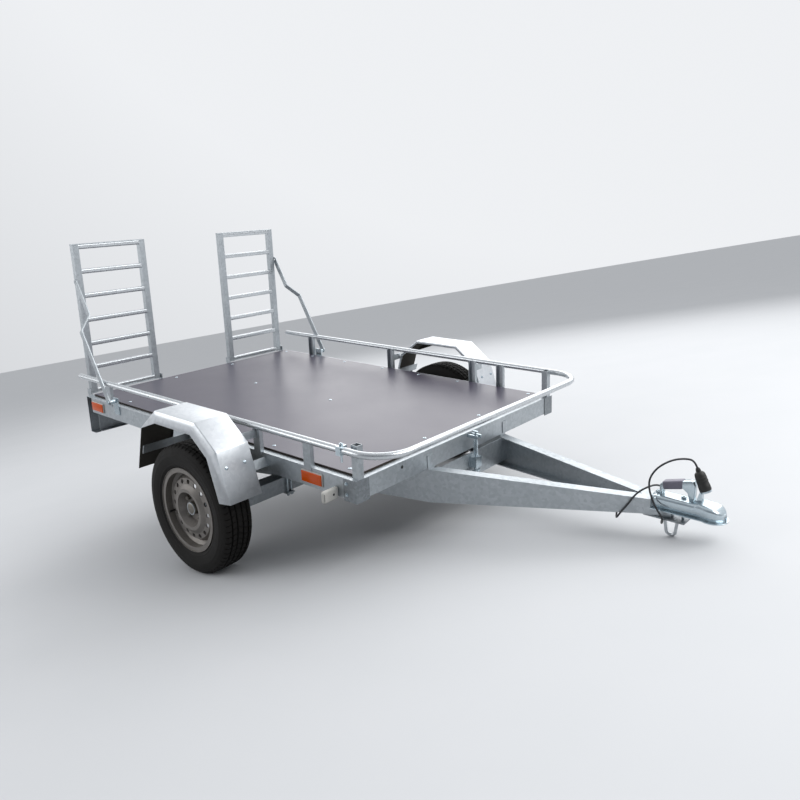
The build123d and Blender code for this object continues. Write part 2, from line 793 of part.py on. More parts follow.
for side, s in SIDES:
    with BuildPart() as rim:
        with BuildSketch(wheel_plane(s)):
            Polygon(*rim_section, align=None)
        revolve(axis=wheel_axis)
        with BuildSketch(side_at(s * (wheel_offset + rim_width / 2))):
            with Locations((axle_x, axle_z)):
                with PolarLocations(vent_radius, vent_count):
                    Ellipse(vent_size[0] / 2, vent_size[1] / 2)
                with PolarLocations(stud_circle / 2, stud_count, start_angle=stud_turn):
                    Circle(stud_diameter / 2 + stud_hole_clearance / 2)
        extrude(amount=s * rim_width / 2, mode=Mode.SUBTRACT)
    write(rim.part, f"rim_{side}")

    with BuildPart() as hub:
        with BuildSketch(wheel_plane(s)):
            Polygon(
                (hub_inner, stub_diameter / 2 + running_clearance),
                (hub_inner, hub_barrel_radius),
                (hub_face - hub_flange_wall, hub_barrel_radius),
                (hub_face - hub_flange_wall, hub_flange_radius),
                (hub_face, hub_flange_radius),
                (hub_face, hub_cap_radius),
                (hub_face + hub_cap_length, hub_cap_radius),
                (hub_face + hub_cap_length, 0),
                (hub_face + hub_cap_length - wheel_disc_wall, 0),
                (hub_face + hub_cap_length - wheel_disc_wall, stub_diameter / 2 + running_clearance),
                align=None,
            )
        revolve(axis=wheel_axis)
        with BuildSketch(side_at(s * hub_face)):
            with Locations((axle_x, axle_z)):
                with PolarLocations(stud_circle / 2, stud_count, start_angle=stud_turn):
                    Circle(stud_diameter / 2)
        extrude(amount=-s * stud_length)
    write(hub.part, f"hub_{side}")

    with BuildPart() as tyre:
        with BuildSketch(wheel_plane(s)):
            with BuildLine():
                for end in (-1, 1):
                    foot = Vector(wheel_offset + end * bead_half, rim_seat_radius)
                    flange_top = Vector(wheel_offset + end * bead_half, rim_flange_radius)
                    bulge = Vector(wheel_offset + end * tyre_width / 2, side_mid)
                    shoulder = Vector(
                        wheel_offset + end * tyre_shoulder_width / 2,
                        tyre_radius - tyre_shoulder_drop,
                    )
                    edge = Vector(
                        wheel_offset + end * tyre_tread_width / 2,
                        tyre_radius - tyre_crown_drop,
                    )
                    round_over = (shoulder + edge) / 2 + Vector(end * tyre_crown_drop, tyre_crown_drop)
                    toe = Vector(wheel_offset + end * (bead_half - tyre_bead_width), rim_seat_radius)
                    waist = Vector(
                        wheel_offset + end * (tyre_width / 2 - tyre_side_wall),
                        side_mid,
                    )
                    liner = Vector(
                        wheel_offset + end * tyre_tread_width / 2,
                        tyre_radius - tyre_crown_drop - tyre_tread_wall,
                    )
                    Line(foot, flange_top)
                    ThreePointArc(flange_top, bulge, shoulder)
                    ThreePointArc(shoulder, round_over, edge)
                    Line(foot, toe)
                    ThreePointArc(toe, waist, liner)
                ThreePointArc(
                    (wheel_offset - tyre_tread_width / 2, tyre_radius - tyre_crown_drop),
                    (wheel_offset, tyre_radius),
                    (wheel_offset + tyre_tread_width / 2, tyre_radius - tyre_crown_drop),
                )
                Line(
                    (
                        wheel_offset - tyre_tread_width / 2,
                        tyre_radius - tyre_crown_drop - tyre_tread_wall,
                    ),
                    (
                        wheel_offset + tyre_tread_width / 2,
                        tyre_radius - tyre_crown_drop - tyre_tread_wall,
                    ),
                )
            make_face()
        revolve(axis=wheel_axis)
    write(tyre.part, f"tyre_{side}")

# ---------------------------------------------------------------- coupling and rest loop

coupling_half_width = coupling_inner_half + coupling_wall
ball_x = coupling_tip - coupling_nose_radius


def coupling_plan(inset):
    """The coupling seen from above, moved inward by an inset."""
    with Locations(((coupling_rear + ball_x) / 2, 0)):
        Rectangle(ball_x - coupling_rear, 2 * (coupling_half_width - inset))
    with Locations((ball_x, 0)):
        Circle(coupling_nose_radius - inset)


def coupling_block(inset):
    """The pressed head as a full block, its nose sloping down over the ball."""
    with BuildPart() as block:
        with BuildSketch(level_at(coupling_bottom)):
            coupling_plan(inset)
        extrude(amount=coupling_top - coupling_bottom - inset)
        with BuildSketch(side_at(0)):
            Polygon(
                (coupling_rear, coupling_bottom),
                (coupling_rear, coupling_top - inset),
                (coupling_tip - coupling_brow, coupling_top - inset),
                (coupling_tip - inset, coupling_top - coupling_nose_drop - inset),
                (coupling_tip - inset, coupling_bottom),
                align=None,
            )
        extrude(amount=coupling_nose_radius, both=True, mode=Mode.INTERSECT)
    return block.part


coupling_outside = coupling_block(0)
coupling_inside = coupling_block(coupling_wall)
with BuildPart() as coupling_head:
    add(coupling_outside)
    with BuildSketch(level_at(coupling_bottom)):
        coupling_plan(-coupling_lip)
    extrude(amount=coupling_wall)
    add(coupling_inside, mode=Mode.SUBTRACT)
    with BuildSketch(level_at(coupling_top)):
        for reach in coupling_bolt_reaches:
            with Locations((coupling_rear + reach, 0)):
                Circle(coupling_bolt_diameter / 2 + running_clearance)
    extrude(amount=-coupling_nose_radius, mode=Mode.SUBTRACT)
write(coupling_head.part, "coupling_head")

socket_radius = ball_radius + ball_clearance
with BuildPart() as ball_socket:
    with BuildSketch(level_at(coupling_bottom)):
        with Locations((ball_x, 0)):
            Circle(coupling_nose_radius - coupling_wall)
    extrude(amount=ball_seat_height)
    with BuildSketch(level_at(coupling_bottom)):
        with Locations((ball_x, 0)):
            Circle(socket_radius)
    extrude(amount=ball_seat_depth, mode=Mode.SUBTRACT)
write(ball_socket.part, "ball_socket")

with BuildPart() as coupling_handle:
    with BuildSketch(side_at(0)):
        Polygon(*[(coupling_rear + x, coupling_top + z) for x, z in handle_outline], align=None)
        Polygon(
            *[(coupling_rear + x, coupling_top + z) for x, z in handle_window],
            align=None,
            mode=Mode.SUBTRACT,
        )
    extrude(amount=handle_width / 2, both=True)
write(coupling_handle.part, "coupling_handle")

nose_plate_top = arm_top - arm_height_nose
with BuildPart() as nose_plate:
    with BuildSketch(level_at(nose_plate_top)):
        with Locations(((nose_plate_rear + nose_plate_front) / 2, 0)):
            Rectangle(nose_plate_front - nose_plate_rear, 2 * nose_plate_half_width)
        for reach in coupling_bolt_reaches:
            with Locations((coupling_rear + reach, 0)):
                Circle(coupling_bolt_diameter / 2 + running_clearance, mode=Mode.SUBTRACT)
    extrude(amount=-nose_plate_wall)
write(nose_plate.part, "nose_plate")

loop_top_z = nose_plate_top - nose_plate_wall
loop_start = rest_loop_bottom_spread / 2 + tan(loop_leg_lean) * (rest_loop_depth + rest_rod_diameter / 2)
with BuildPart() as rest_loop:
    with BuildLine(side_at(0)) as rest_path:
        FilletPolyline(
            (rest_loop_x - loop_start, loop_top_z + rest_rod_diameter),
            (rest_loop_x - rest_loop_bottom_spread / 2, loop_bottom_z + rest_rod_diameter / 2),
            (rest_loop_x + rest_loop_bottom_spread / 2, loop_bottom_z + rest_rod_diameter / 2),
            (rest_loop_x + loop_start, loop_top_z + rest_rod_diameter),
            radius=rest_loop_bend,
        )
    with BuildSketch(Plane(origin=rest_path.line @ 0, z_dir=rest_path.line % 0)):
        Circle(rest_rod_diameter / 2)
    sweep(path=rest_path.line)
    split(bisect_by=level_at(loop_top_z), keep=Keep.BOTTOM)
write(rest_loop.part, "rest_loop")

# ---------------------------------------------------------------- deck latch and rest pads

with BuildPart() as latch_fork:
    for s in (-1, 1):
        with BuildSketch(level_at(latch_fork_top)):
            with Locations((latch_fork_reach / 2, s * (latch_fork_gap + latch_fork_wall) / 2)):
                Rectangle(latch_fork_reach, latch_fork_wall)
        extrude(amount=-latch_fork_height)
write(latch_fork.part, "latch_fork")

latch_bracket_bottom = latch_bracket_top - latch_bracket_height
latch_bracket_reach = latch_rod_x + latch_bracket_margin - drawbar_cross_x
with BuildPart() as latch_bracket:
    with BuildSketch(level_at(latch_bracket_bottom)):
        with Locations((drawbar_cross_x + latch_bracket_reach / 2, 0)):
            Rectangle(latch_bracket_reach, latch_bracket_width)
    extrude(amount=latch_bracket_height)
write(latch_bracket.part, "latch_bracket")

with BuildPart() as latch_rod:
    with BuildSketch(level_at(latch_bracket_top)):
        with Locations((latch_rod_x, 0)):
            Circle(latch_rod_diameter / 2)
    extrude(amount=latch_fork_top + latch_rod_diameter - latch_bracket_top)
    with BuildSketch(level_at(latch_fork_top + latch_rod_diameter)):
        with Locations((latch_rod_x, 0)):
            Rectangle(latch_knob_width, latch_rod_diameter)
    extrude(amount=latch_rod_diameter)
write(latch_rod.part, "latch_rod")

pad_y = arm_spread - arm_slope * (-beam_flange / 2) - arm_flange / 2
with BuildPart() as rest_pads:
    for s in (-1, 1):
        with BuildSketch(level_at(arm_top)):
            with Locations((-beam_flange / 2, s * pad_y)):
                Rectangle(rest_pad_side, rest_pad_side)
        extrude(amount=-beam_height - rest_pad_clearance - arm_top)
write(rest_pads.part, "rest_pads")

# ---------------------------------------------------------------- ramps

ramp_front = -deck_length - ramp_gap
ramp_pin_x = ramp_front - ramp_depth / 2
ear_reach = -deck_length - (ramp_pin_x - ramp_depth / 2)

with BuildPart() as ramp_ears:
    for side, s in SIDES:
        for y in (ramp_outer + ramp_ear_gap, ramp_inner - ramp_ear_gap - ramp_ear_wall):
            with BuildSketch(side_at(s * y)):
                Polygon(
                    (-deck_length, -beam_height),
                    (-deck_length, 0),
                    (-deck_length, ramp_pin_height + ramp_pin_diameter),
                    (-deck_length - ear_reach, ramp_pin_height + ramp_pin_diameter),
                    (-deck_length - ear_reach, ramp_pin_height - ramp_pin_diameter),
                    align=None,
                )
            extrude(amount=-s * ramp_ear_wall)
write(ramp_ears.part, "ramp_ears")

with BuildPart() as ramp_pins:
    for side, s in SIDES:
        for start, end in (
            (ramp_outer - ramp_stile, ramp_outer + ramp_ear_gap),
            (ramp_inner + ramp_stile, ramp_inner - ramp_ear_gap),
        ):
            with BuildSketch(side_at(s * end)):
                with Locations((ramp_pin_x, ramp_pin_height)):
                    Circle(ramp_pin_diameter / 2)
            extrude(amount=s * (end - start))
write(ramp_pins.part, "ramp_pins")

pin_bore = ramp_pin_diameter / 2 + running_clearance
for side, s in SIDES:
    with BuildPart() as ramp_stiles:
        with BuildSketch(level_at(ramp_bottom)):
            for y in (ramp_outer - ramp_stile / 2, ramp_inner + ramp_stile / 2):
                with Locations((ramp_pin_x, s * y)):
                    Rectangle(ramp_depth, ramp_stile)
                    Rectangle(ramp_depth - 2 * ramp_wall, ramp_stile - 2 * ramp_wall, mode=Mode.SUBTRACT)
        extrude(amount=ramp_height)
        with BuildSketch(side_at(0)):
            with Locations((ramp_pin_x, ramp_pin_height)):
                Circle(pin_bore)
        extrude(amount=-s * deck_width, mode=Mode.SUBTRACT)
    write(ramp_stiles.part, f"ramp_stiles_{side}")

    rung_pitch = (ramp_height - rung_height) / (rung_count - 1)
    with BuildPart() as ramp_rungs:
        for index in range(rung_count):
            rung_z = ramp_bottom + rung_height / 2 + index * rung_pitch
            with BuildSketch(side_at(s * (ramp_inner + ramp_stile))):
                with Locations((ramp_front - rung_depth / 2, rung_z)):
                    Rectangle(rung_depth, rung_height)
                    Rectangle(rung_depth - 2 * ramp_wall, rung_height - 2 * ramp_wall, mode=Mode.SUBTRACT)
            extrude(amount=-s * (ramp_outer - ramp_inner - 2 * ramp_stile))
    write(ramp_rungs.part, f"ramp_rungs_{side}")

# ---------------------------------------------------------------- ramp struts

strut_reach = strut_top[0] - strut_foot[0]
strut_rise = strut_top[1] - strut_foot[1]
strut_length = hypot(strut_reach, strut_rise)
strut_lean = atan2(strut_rise, strut_reach)
strut_crank = strut_outer_face - strut_inner_face
crank_start = (strut_jog_bottom - strut_foot[1]) / sin(strut_lean)
crank_end = (strut_jog_top - strut_foot[1]) / sin(strut_lean)
crank_shift = strut_wall * tan(atan2(strut_crank, crank_end - crank_start) / 2)
strut_hole = strut_pin_diameter / 2 + running_clearance


def strut_plane(s):
    """A plane along the strut from its foot: first axis up the strut, second axis outboard."""
    along = deck.x_dir * cos(strut_lean) + deck.z_dir * sin(strut_lean)
    outboard = deck.y_dir * s
    spot = deck.from_local_coords(Vector(strut_foot[0], 0, strut_foot[1]))
    return Plane(origin=spot, x_dir=along, z_dir=along.cross(outboard))


for side, s in SIDES:
    with BuildPart() as strut:
        with BuildSketch(strut_plane(s)):
            Polygon(
                (-strut_width, strut_outer_face),
                (crank_start, strut_outer_face),
                (crank_end, strut_inner_face),
                (strut_length + strut_width, strut_inner_face),
                (strut_length + strut_width, strut_inner_face + strut_wall),
                (crank_end + crank_shift, strut_inner_face + strut_wall),
                (crank_start + crank_shift, strut_outer_face + strut_wall),
                (-strut_width, strut_outer_face + strut_wall),
                align=None,
            )
        extrude(amount=strut_width, both=True)
        with BuildSketch(side_at(0)):
            with Locations(((strut_top[0] + strut_foot[0]) / 2, (strut_top[1] + strut_foot[1]) / 2)):
                SlotCenterToCenter(strut_length, strut_width, rotation=degrees(strut_lean))
            with Locations(strut_foot, strut_top):
                Circle(strut_hole, mode=Mode.SUBTRACT)
        extrude(amount=deck_width, both=True, mode=Mode.INTERSECT)
    write(strut.part, f"strut_{side}")

plate_outer = half_width + strut_plate_wall
plate_top = strut_foot[1] + strut_pin_head / 2 + strut_plate_margin
with BuildPart() as strut_brackets:
    for side, s in SIDES:
        with BuildSketch(side_at(s * half_width)):
            with Locations((strut_foot[0], (plate_top + strut_plate_bottom) / 2)):
                Rectangle(strut_plate_width, plate_top - strut_plate_bottom)
        extrude(amount=-s * strut_plate_wall)
        for start, end, radius in (
            (plate_outer, strut_outer_face - strut_pin_play, strut_pin_head / 2),
            (
                strut_outer_face - strut_pin_play,
                strut_outer_face + strut_wall + strut_pin_play,
                strut_pin_diameter / 2,
            ),
            (
                strut_outer_face + strut_wall + strut_pin_play,
                strut_outer_face + 2 * strut_wall + strut_pin_play,
                strut_pin_head / 2,
            ),
        ):
            with BuildSketch(side_at(s * start)):
                with Locations(strut_foot):
                    Circle(radius)
            extrude(amount=-s * (end - start))
write(strut_brackets.part, "strut_brackets")

# ---------------------------------------------------------------- lamps

with BuildPart() as side_markers:
    for side, s in SIDES:
        with BuildSketch(side_at(s * half_width)):
            with Locations(
                (-marker_front_reach, marker_centre_z),
                (-deck_length + marker_rear_reach, marker_centre_z),
            ):
                Rectangle(marker_length, marker_height)
        extrude(amount=-s * marker_wall)
write(side_markers.part, "side_markers")

with BuildPart() as front_lamps:
    for side, s in SIDES:
        with BuildSketch(cross_at(-front_lamp_reach)):
            with Locations((s * (half_width + front_lamp_length / 2), front_lamp_z)):
                Rectangle(front_lamp_length, front_lamp_height)
        extrude(amount=-front_lamp_wall)
write(front_lamps.part, "front_lamps")

with BuildPart() as tail_lamps:
    for side, s in SIDES:
        with BuildSketch(cross_at(-deck_length)):
            with Locations((s * tail_lamp_spot, tail_lamp_z)):
                Rectangle(tail_lamp_length, tail_lamp_height)
        extrude(amount=-tail_lamp_wall)
write(tail_lamps.part, "tail_lamps")

# ---------------------------------------------------------------- small hardware

clamp_radius = rail_diameter / 2 + clamp_wall
with BuildPart() as rail_clamp:
    with BuildSketch(cross_at(-clamp_reach - clamp_length / 2)):
        with Locations((-rail_y, rail_height)):
            Rectangle(2 * clamp_radius, 2 * clamp_radius)
            Circle(rail_diameter / 2 + running_clearance, mode=Mode.SUBTRACT)
    extrude(amount=clamp_length)
    with BuildSketch(level_at(rail_height - clamp_radius)):
        with Locations((-clamp_reach, -rail_y)):
            Circle(clamp_bolt_diameter / 2)
    extrude(amount=-clamp_bolt_drop)
write(rail_clamp.part, "rail_clamps")

nose_plate_bottom = nose_plate_top - nose_plate_wall
with BuildPart() as coupling_bolts:
    for reach in coupling_bolt_reaches:
        for start, end, radius in (
            (coupling_top, coupling_top + coupling_bolt_head_height, coupling_bolt_head / 2),
            (coupling_top, nose_plate_bottom, coupling_bolt_diameter / 2),
            (nose_plate_bottom, nose_plate_bottom - coupling_bolt_head_height, coupling_bolt_head / 2),
        ):
            with BuildSketch(level_at(start)):
                with Locations((coupling_rear + reach, 0)):
                    Circle(radius)
            extrude(amount=end - start)
write(coupling_bolts.part, "coupling_bolts")

plug_reach = plug_bottom[0] - plug_top[0]
plug_rise = plug_bottom[1] - plug_top[1]
plug_length = hypot(plug_reach, plug_rise)
plug_dir = deck.x_dir * (plug_reach / plug_length) + deck.z_dir * (plug_rise / plug_length)
plug_plane = Plane(
    origin=deck.from_local_coords(Vector(plug_top[0], 0, plug_top[1])),
    x_dir=deck.y_dir,
    z_dir=plug_dir,
)
with BuildPart() as plug:
    with BuildSketch(plug_plane):
        Circle(plug_radius)
    extrude(amount=plug_length)
    with BuildSketch(plug_plane):
        Circle(plug_neck_radius)
    extrude(amount=-plug_neck_length)
write(plug.part, "plug")

holder_across = (-plug_rise / plug_length, plug_reach / plug_length)
holder_radius = plug_radius - holder_inset
holder_heel = (
    plug_bottom[0] - holder_across[0] * holder_radius,
    plug_bottom[1] - holder_across[1] * holder_radius,
)
holder_sole = (
    holder_heel[0] + plug_reach / plug_length * holder_wall + holder_across[0] * holder_wall,
    holder_heel[1] + plug_rise / plug_length * holder_wall + holder_across[1] * holder_wall,
)
with BuildPart() as plug_holder:
    with BuildSketch(plug_plane.offset(plug_length)):
        Circle(holder_radius)
    extrude(amount=holder_wall)
    with BuildSketch(side_at(0)):
        Polygon(
            (coupling_rear + holder_foot[0], coupling_top),
            holder_heel,
            holder_sole,
            (coupling_rear + holder_foot[1], coupling_top),
            align=None,
        )
    extrude(amount=holder_width / 2, both=True)
write(plug_holder.part, "plug_holder")

# ---------------------------------------------------------------- drawbar cable

clip_x, clip_y, clip_z = cable_clip_front
clip_rear = clip_x - cable_clip_length
with BuildPart() as cable_clip:
    with BuildSketch(level_at(clip_z - cable_clip_side / 2)):
        Polygon(
            (clip_x, clip_y + cable_clip_side / 2),
            (clip_x, arm_web - arm_spread + arm_slope * clip_x),
            (clip_rear, arm_web - arm_spread + arm_slope * clip_rear),
            (clip_rear, clip_y + cable_clip_side / 2),
            align=None,
        )
    extrude(amount=cable_clip_side)
write(cable_clip.part, "cable_clip")

# The cable leaves its clip inside the right arm, winds once round the drawbar's nose and rises
# in a free bow to the back of the plug.
tail_scale = (plug_neck_length + cable_tail) / plug_length
neck_scale = plug_neck_length / plug_length
cable_points = (
    cable_clip_front,
    *cable_middle,
    (plug_top[0] - plug_reach * tail_scale, 0, plug_top[1] - plug_rise * tail_scale),
    (plug_top[0] - plug_reach * neck_scale, 0, plug_top[1] - plug_rise * neck_scale),
)


def bend_radii(points):
    """The largest even bend that each corner's two runs allow."""
    radii = []
    for before, corner, after in zip(points, points[1:], points[2:]):
        run_in = Vector(*corner) - Vector(*before)
        run_out = Vector(*after) - Vector(*corner)
        half_turn = radians(run_in.get_angle(run_out)) / 2
        radii.append(cable_bend_share * min(run_in.length, run_out.length) / tan(half_turn))
    return radii


cable_bends = bend_radii(cable_points)
with BuildPart() as cable:
    with BuildLine(deck) as cable_path:
        FilletPolyline(*cable_points, radius=cable_bends)
    with BuildSketch(Plane(origin=cable_path.line @ 0, z_dir=cable_path.line % 0)):
        Circle(cable_diameter / 2)
    sweep(path=cable_path.line)
write(cable.part, "cable")
cable_length = sum(edge.length for edge in cable_path.line.edges())
print("cable bend radii", [round(radius, 1) for radius in cable_bends])
print("cable length", round(cable_length, 1))
print("cable volume over section", round(cable.part.volume / (pi * cable_diameter**2 / 4), 1))
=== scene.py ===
import bpy
import bmesh
from math import atan2, cos, hypot, pi, radians, sin, tan
from mathutils import Matrix, Vector


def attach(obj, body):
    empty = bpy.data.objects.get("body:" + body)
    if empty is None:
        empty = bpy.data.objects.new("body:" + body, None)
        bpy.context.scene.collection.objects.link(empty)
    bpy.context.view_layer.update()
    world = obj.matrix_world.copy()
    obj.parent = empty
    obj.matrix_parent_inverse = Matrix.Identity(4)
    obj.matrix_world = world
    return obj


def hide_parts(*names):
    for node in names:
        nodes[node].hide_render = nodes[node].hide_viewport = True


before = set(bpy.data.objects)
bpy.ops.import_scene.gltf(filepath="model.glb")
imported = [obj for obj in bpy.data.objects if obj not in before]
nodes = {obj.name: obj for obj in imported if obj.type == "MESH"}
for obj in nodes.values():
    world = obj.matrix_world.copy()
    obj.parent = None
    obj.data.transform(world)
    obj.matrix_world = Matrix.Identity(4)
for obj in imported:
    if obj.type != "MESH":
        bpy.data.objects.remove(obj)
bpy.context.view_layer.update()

# ------------------------------------------------------------------ the trailer's own frame
# The trailer stands nose down, so its pieces are drawn in the level frame of the deck and then
# laid down with it: x forward from the front beam, y to the trailer's left, z up from the top of
# the side beams, in millimetres. The object itself is in metres, standing on its wheels and its
# rest loop.

park_angle = radians(10.3365)
deck_origin = (0.506413, 0.0, 0.380003)
deck_frame = Matrix.Translation(deck_origin) @ Matrix.Rotation(park_angle, 4, "Y")
parked = deck_frame @ Matrix.Scale(0.001, 4)

SIDES = (("right", -1), ("left", 1))
axle_x, axle_z, wheel_offset = -797.0, -246.0, 836.0


def on_deck(x, y, z):
    """A point of the deck frame, in millimetres, where it lies in the parked trailer."""
    return parked @ Vector((x, y, z))


# ------------------------------------------------------------------ camera

# Where the lens is, in metres of the deck frame, and how far the camera is turned, raised and rolled.
view_spot = (1.81836, -2.42032, 1.01935)
view_turn = radians(40.512)
view_height = radians(13.121)
view_roll = radians(-1.906)
level_right = Vector((cos(view_turn), sin(view_turn), 0))
level_up = Vector((-sin(view_turn) * sin(view_height), cos(view_turn) * sin(view_height), cos(view_height)))
view_right = level_right * cos(view_roll) + level_up * sin(view_roll)
view_up = level_up * cos(view_roll) - level_right * sin(view_roll)
view_axes = Matrix((view_right, view_up, view_right.cross(view_up))).transposed().to_4x4()
camera_data = bpy.data.cameras.new("camera")
camera_data.lens = 33.21
camera_data.sensor_width = 36.0
camera_data.shift_x = -0.0282
camera_data.shift_y = -0.0477
camera = bpy.data.objects.new("camera", camera_data)
camera.matrix_world = deck_frame @ Matrix.Translation(view_spot) @ view_axes
bpy.context.collection.objects.link(camera)
bpy.context.scene.camera = camera

# ------------------------------------------------------------------ materials


def colour(code):
    """An sRGB hex colour as the linear colour that a shader takes."""
    steps = [int(code[spot:spot + 2], 16) / 255 for spot in (1, 3, 5)]
    return (*[c / 12.92 if c <= 0.04045 else ((c + 0.055) / 1.055) ** 2.4 for c in steps], 1.0)


def add(tree, kind, values=None, **settings):
    """Add a node: its settings, and for each socket the value or the other node's output it takes."""
    made = tree.nodes.new(kind)
    for name, setting in settings.items():
        setattr(made, name, setting)
    for socket, value in (values or {}).items():
        if isinstance(value, bpy.types.NodeSocket):
            tree.links.new(value, made.inputs[socket])
        else:
            made.inputs[socket].default_value = value
    return made


def finish(name, **sockets):
    """A new material's node tree and its main shader, with the values that are even all over."""
    made = bpy.data.materials.new(name)
    made.use_nodes = True
    shader = made.node_tree.nodes["Principled BSDF"]
    for socket, value in sockets.items():
        shader.inputs[socket.replace("_", " ")].default_value = value
    return made, made.node_tree, shader


def zinc_coat(name, dark, light, crystal, rough_low, rough_high, cloud, relief):
    """Zinc on steel: crystals of the coat, each a shade of its own, under cloudy weathered patches."""
    made, tree, shader = finish(name, Metallic=0.88)
    place = add(tree, "ShaderNodeTexCoord").outputs["Object"]
    crystals = add(tree, "ShaderNodeTexVoronoi", {"Vector": place, "Scale": 1 / crystal, "Randomness": 1.0})
    shade = add(tree, "ShaderNodeSeparateColor", {"Color": crystals.outputs["Color"]})
    clouds = add(tree, "ShaderNodeTexNoise",
                 {"Vector": place, "Scale": 1 / cloud, "Detail": 5.0, "Roughness": 0.6})
    blend = add(tree, "ShaderNodeMath", {0: shade.outputs["Red"], 1: clouds.outputs["Fac"]},
                operation="MULTIPLY")
    tint = add(tree, "ShaderNodeMix", {"Factor": blend.outputs[0], 6: colour(dark), 7: colour(light)},
               data_type="RGBA")
    rough = add(tree, "ShaderNodeMapRange", {0: shade.outputs["Green"], 3: rough_low, 4: rough_high})
    grain = add(tree, "ShaderNodeTexNoise", {"Vector": place, "Scale": 420.0, "Detail": 3.0})
    waves = add(tree, "ShaderNodeTexNoise", {"Vector": place, "Scale": 7.0, "Detail": 2.0})
    height = add(tree, "ShaderNodeMath", {0: waves.outputs["Fac"], 1: 12.0, 2: grain.outputs["Fac"]},
                 operation="MULTIPLY_ADD")
    bump = add(tree, "ShaderNodeBump", {"Height": height.outputs[0], "Strength": relief, "Distance": 0.0006})
    tree.links.new(tint.outputs[2], shader.inputs["Base Color"])
    tree.links.new(rough.outputs[0], shader.inputs["Roughness"])
    tree.links.new(bump.outputs[0], shader.inputs["Normal"])
    return made


# Hot-dip galvanised steel: dipped whole in molten zinc, which freezes in crystals about 12 mm
# across. It is bright and satin, a little blue, with every crystal its own shade.
galvanised_steel = zinc_coat("hot_dip_galvanised_steel", "#aab0b4", "#c3c8cc", 0.012, 0.38, 0.50, 0.16, 0.12)

# Bright galvanised sheet: coated in the coil and only then folded, so its zinc is thin, even and bright.
bright_sheet = zinc_coat("bright_galvanised_sheet", "#d6dade", "#e9ecef", 0.014, 0.36, 0.46, 0.16, 0.06)

# Galvanised tube: the zinc freezes finer on a thin round wall, so it is smoother and brighter.
galvanised_tube = zinc_coat("galvanised_steel_tube", "#c6cacd", "#d2d6d9", 0.006, 0.27, 0.32, 0.06, 0.01)

# The same coat gone dull: thin plates bend in service and their zinc weathers first.
weathered_plate = zinc_coat("weathered_galvanised_plate", "#83888c", "#9da3a7", 0.009, 0.40, 0.50, 0.12, 0.08)

# Bright zinc plate with a blue passivate: a thin shiny coat on bolts, latches and the coupling.
zinc_plate = zinc_coat("blue_zinc_plate", "#b9c6cd", "#cfdae0", 0.004, 0.20, 0.27, 0.03, 0.05)

# The same plate on the wheel's nuts and cap, dulled brown by brake and road dust.
dulled_zinc = zinc_coat("road_dulled_zinc_plate", "#716d66", "#8f8b84", 0.004, 0.36, 0.46, 0.03, 0.08)


def wheel_enamel():
    """Silver-grey baked enamel on a pressed steel wheel: even and satin, dulled by road dust."""
    made, tree, shader = finish("silver_grey_wheel_enamel", Metallic=0.35)
    place = add(tree, "ShaderNodeTexCoord").outputs["Object"]
    dust = add(tree, "ShaderNodeTexNoise", {"Vector": place, "Scale": 18.0, "Detail": 6.0, "Roughness": 0.65})
    tint = add(tree, "ShaderNodeMix",
               {"Factor": dust.outputs["Fac"], 6: colour("#6b6661"), 7: colour("#948f8a")},
               data_type="RGBA")
    rough = add(tree, "ShaderNodeMapRange", {0: dust.outputs["Fac"], 3: 0.55, 4: 0.34})
    peel = add(tree, "ShaderNodeTexNoise", {"Vector": place, "Scale": 500.0, "Detail": 2.0})
    bump = add(tree, "ShaderNodeBump", {"Height": peel.outputs["Fac"], "Strength": 0.15, "Distance": 0.0004})
    tree.links.new(tint.outputs[2], shader.inputs["Base Color"])
    tree.links.new(rough.outputs[0], shader.inputs["Roughness"])
    tree.links.new(bump.outputs[0], shader.inputs["Normal"])
    return made


def tyre_rubber():
    """Vulcanised carbon-black rubber from a mould: matt brown-black, with dust in its pores."""
    made, tree, shader = finish("vulcanised_tyre_rubber", Specular_IOR_Level=0.3)
    place = add(tree, "ShaderNodeTexCoord").outputs["Object"]
    dust = add(tree, "ShaderNodeTexNoise", {"Vector": place, "Scale": 22.0, "Detail": 8.0, "Roughness": 0.7})
    tint = add(tree, "ShaderNodeMix",
               {"Factor": dust.outputs["Fac"], 6: colour("#080706"), 7: colour("#191613")},
               data_type="RGBA")
    rough = add(tree, "ShaderNodeMapRange", {0: dust.outputs["Fac"], 3: 0.62, 4: 0.86})
    pores = add(tree, "ShaderNodeTexNoise", {"Vector": place, "Scale": 900.0, "Detail": 2.0})
    bump = add(tree, "ShaderNodeBump", {"Height": pores.outputs["Fac"], "Strength": 0.3, "Distance": 0.0005})
    tree.links.new(tint.outputs[2], shader.inputs["Base Color"])
    tree.links.new(rough.outputs[0], shader.inputs["Roughness"])
    tree.links.new(bump.outputs[0], shader.inputs["Normal"])
    return made


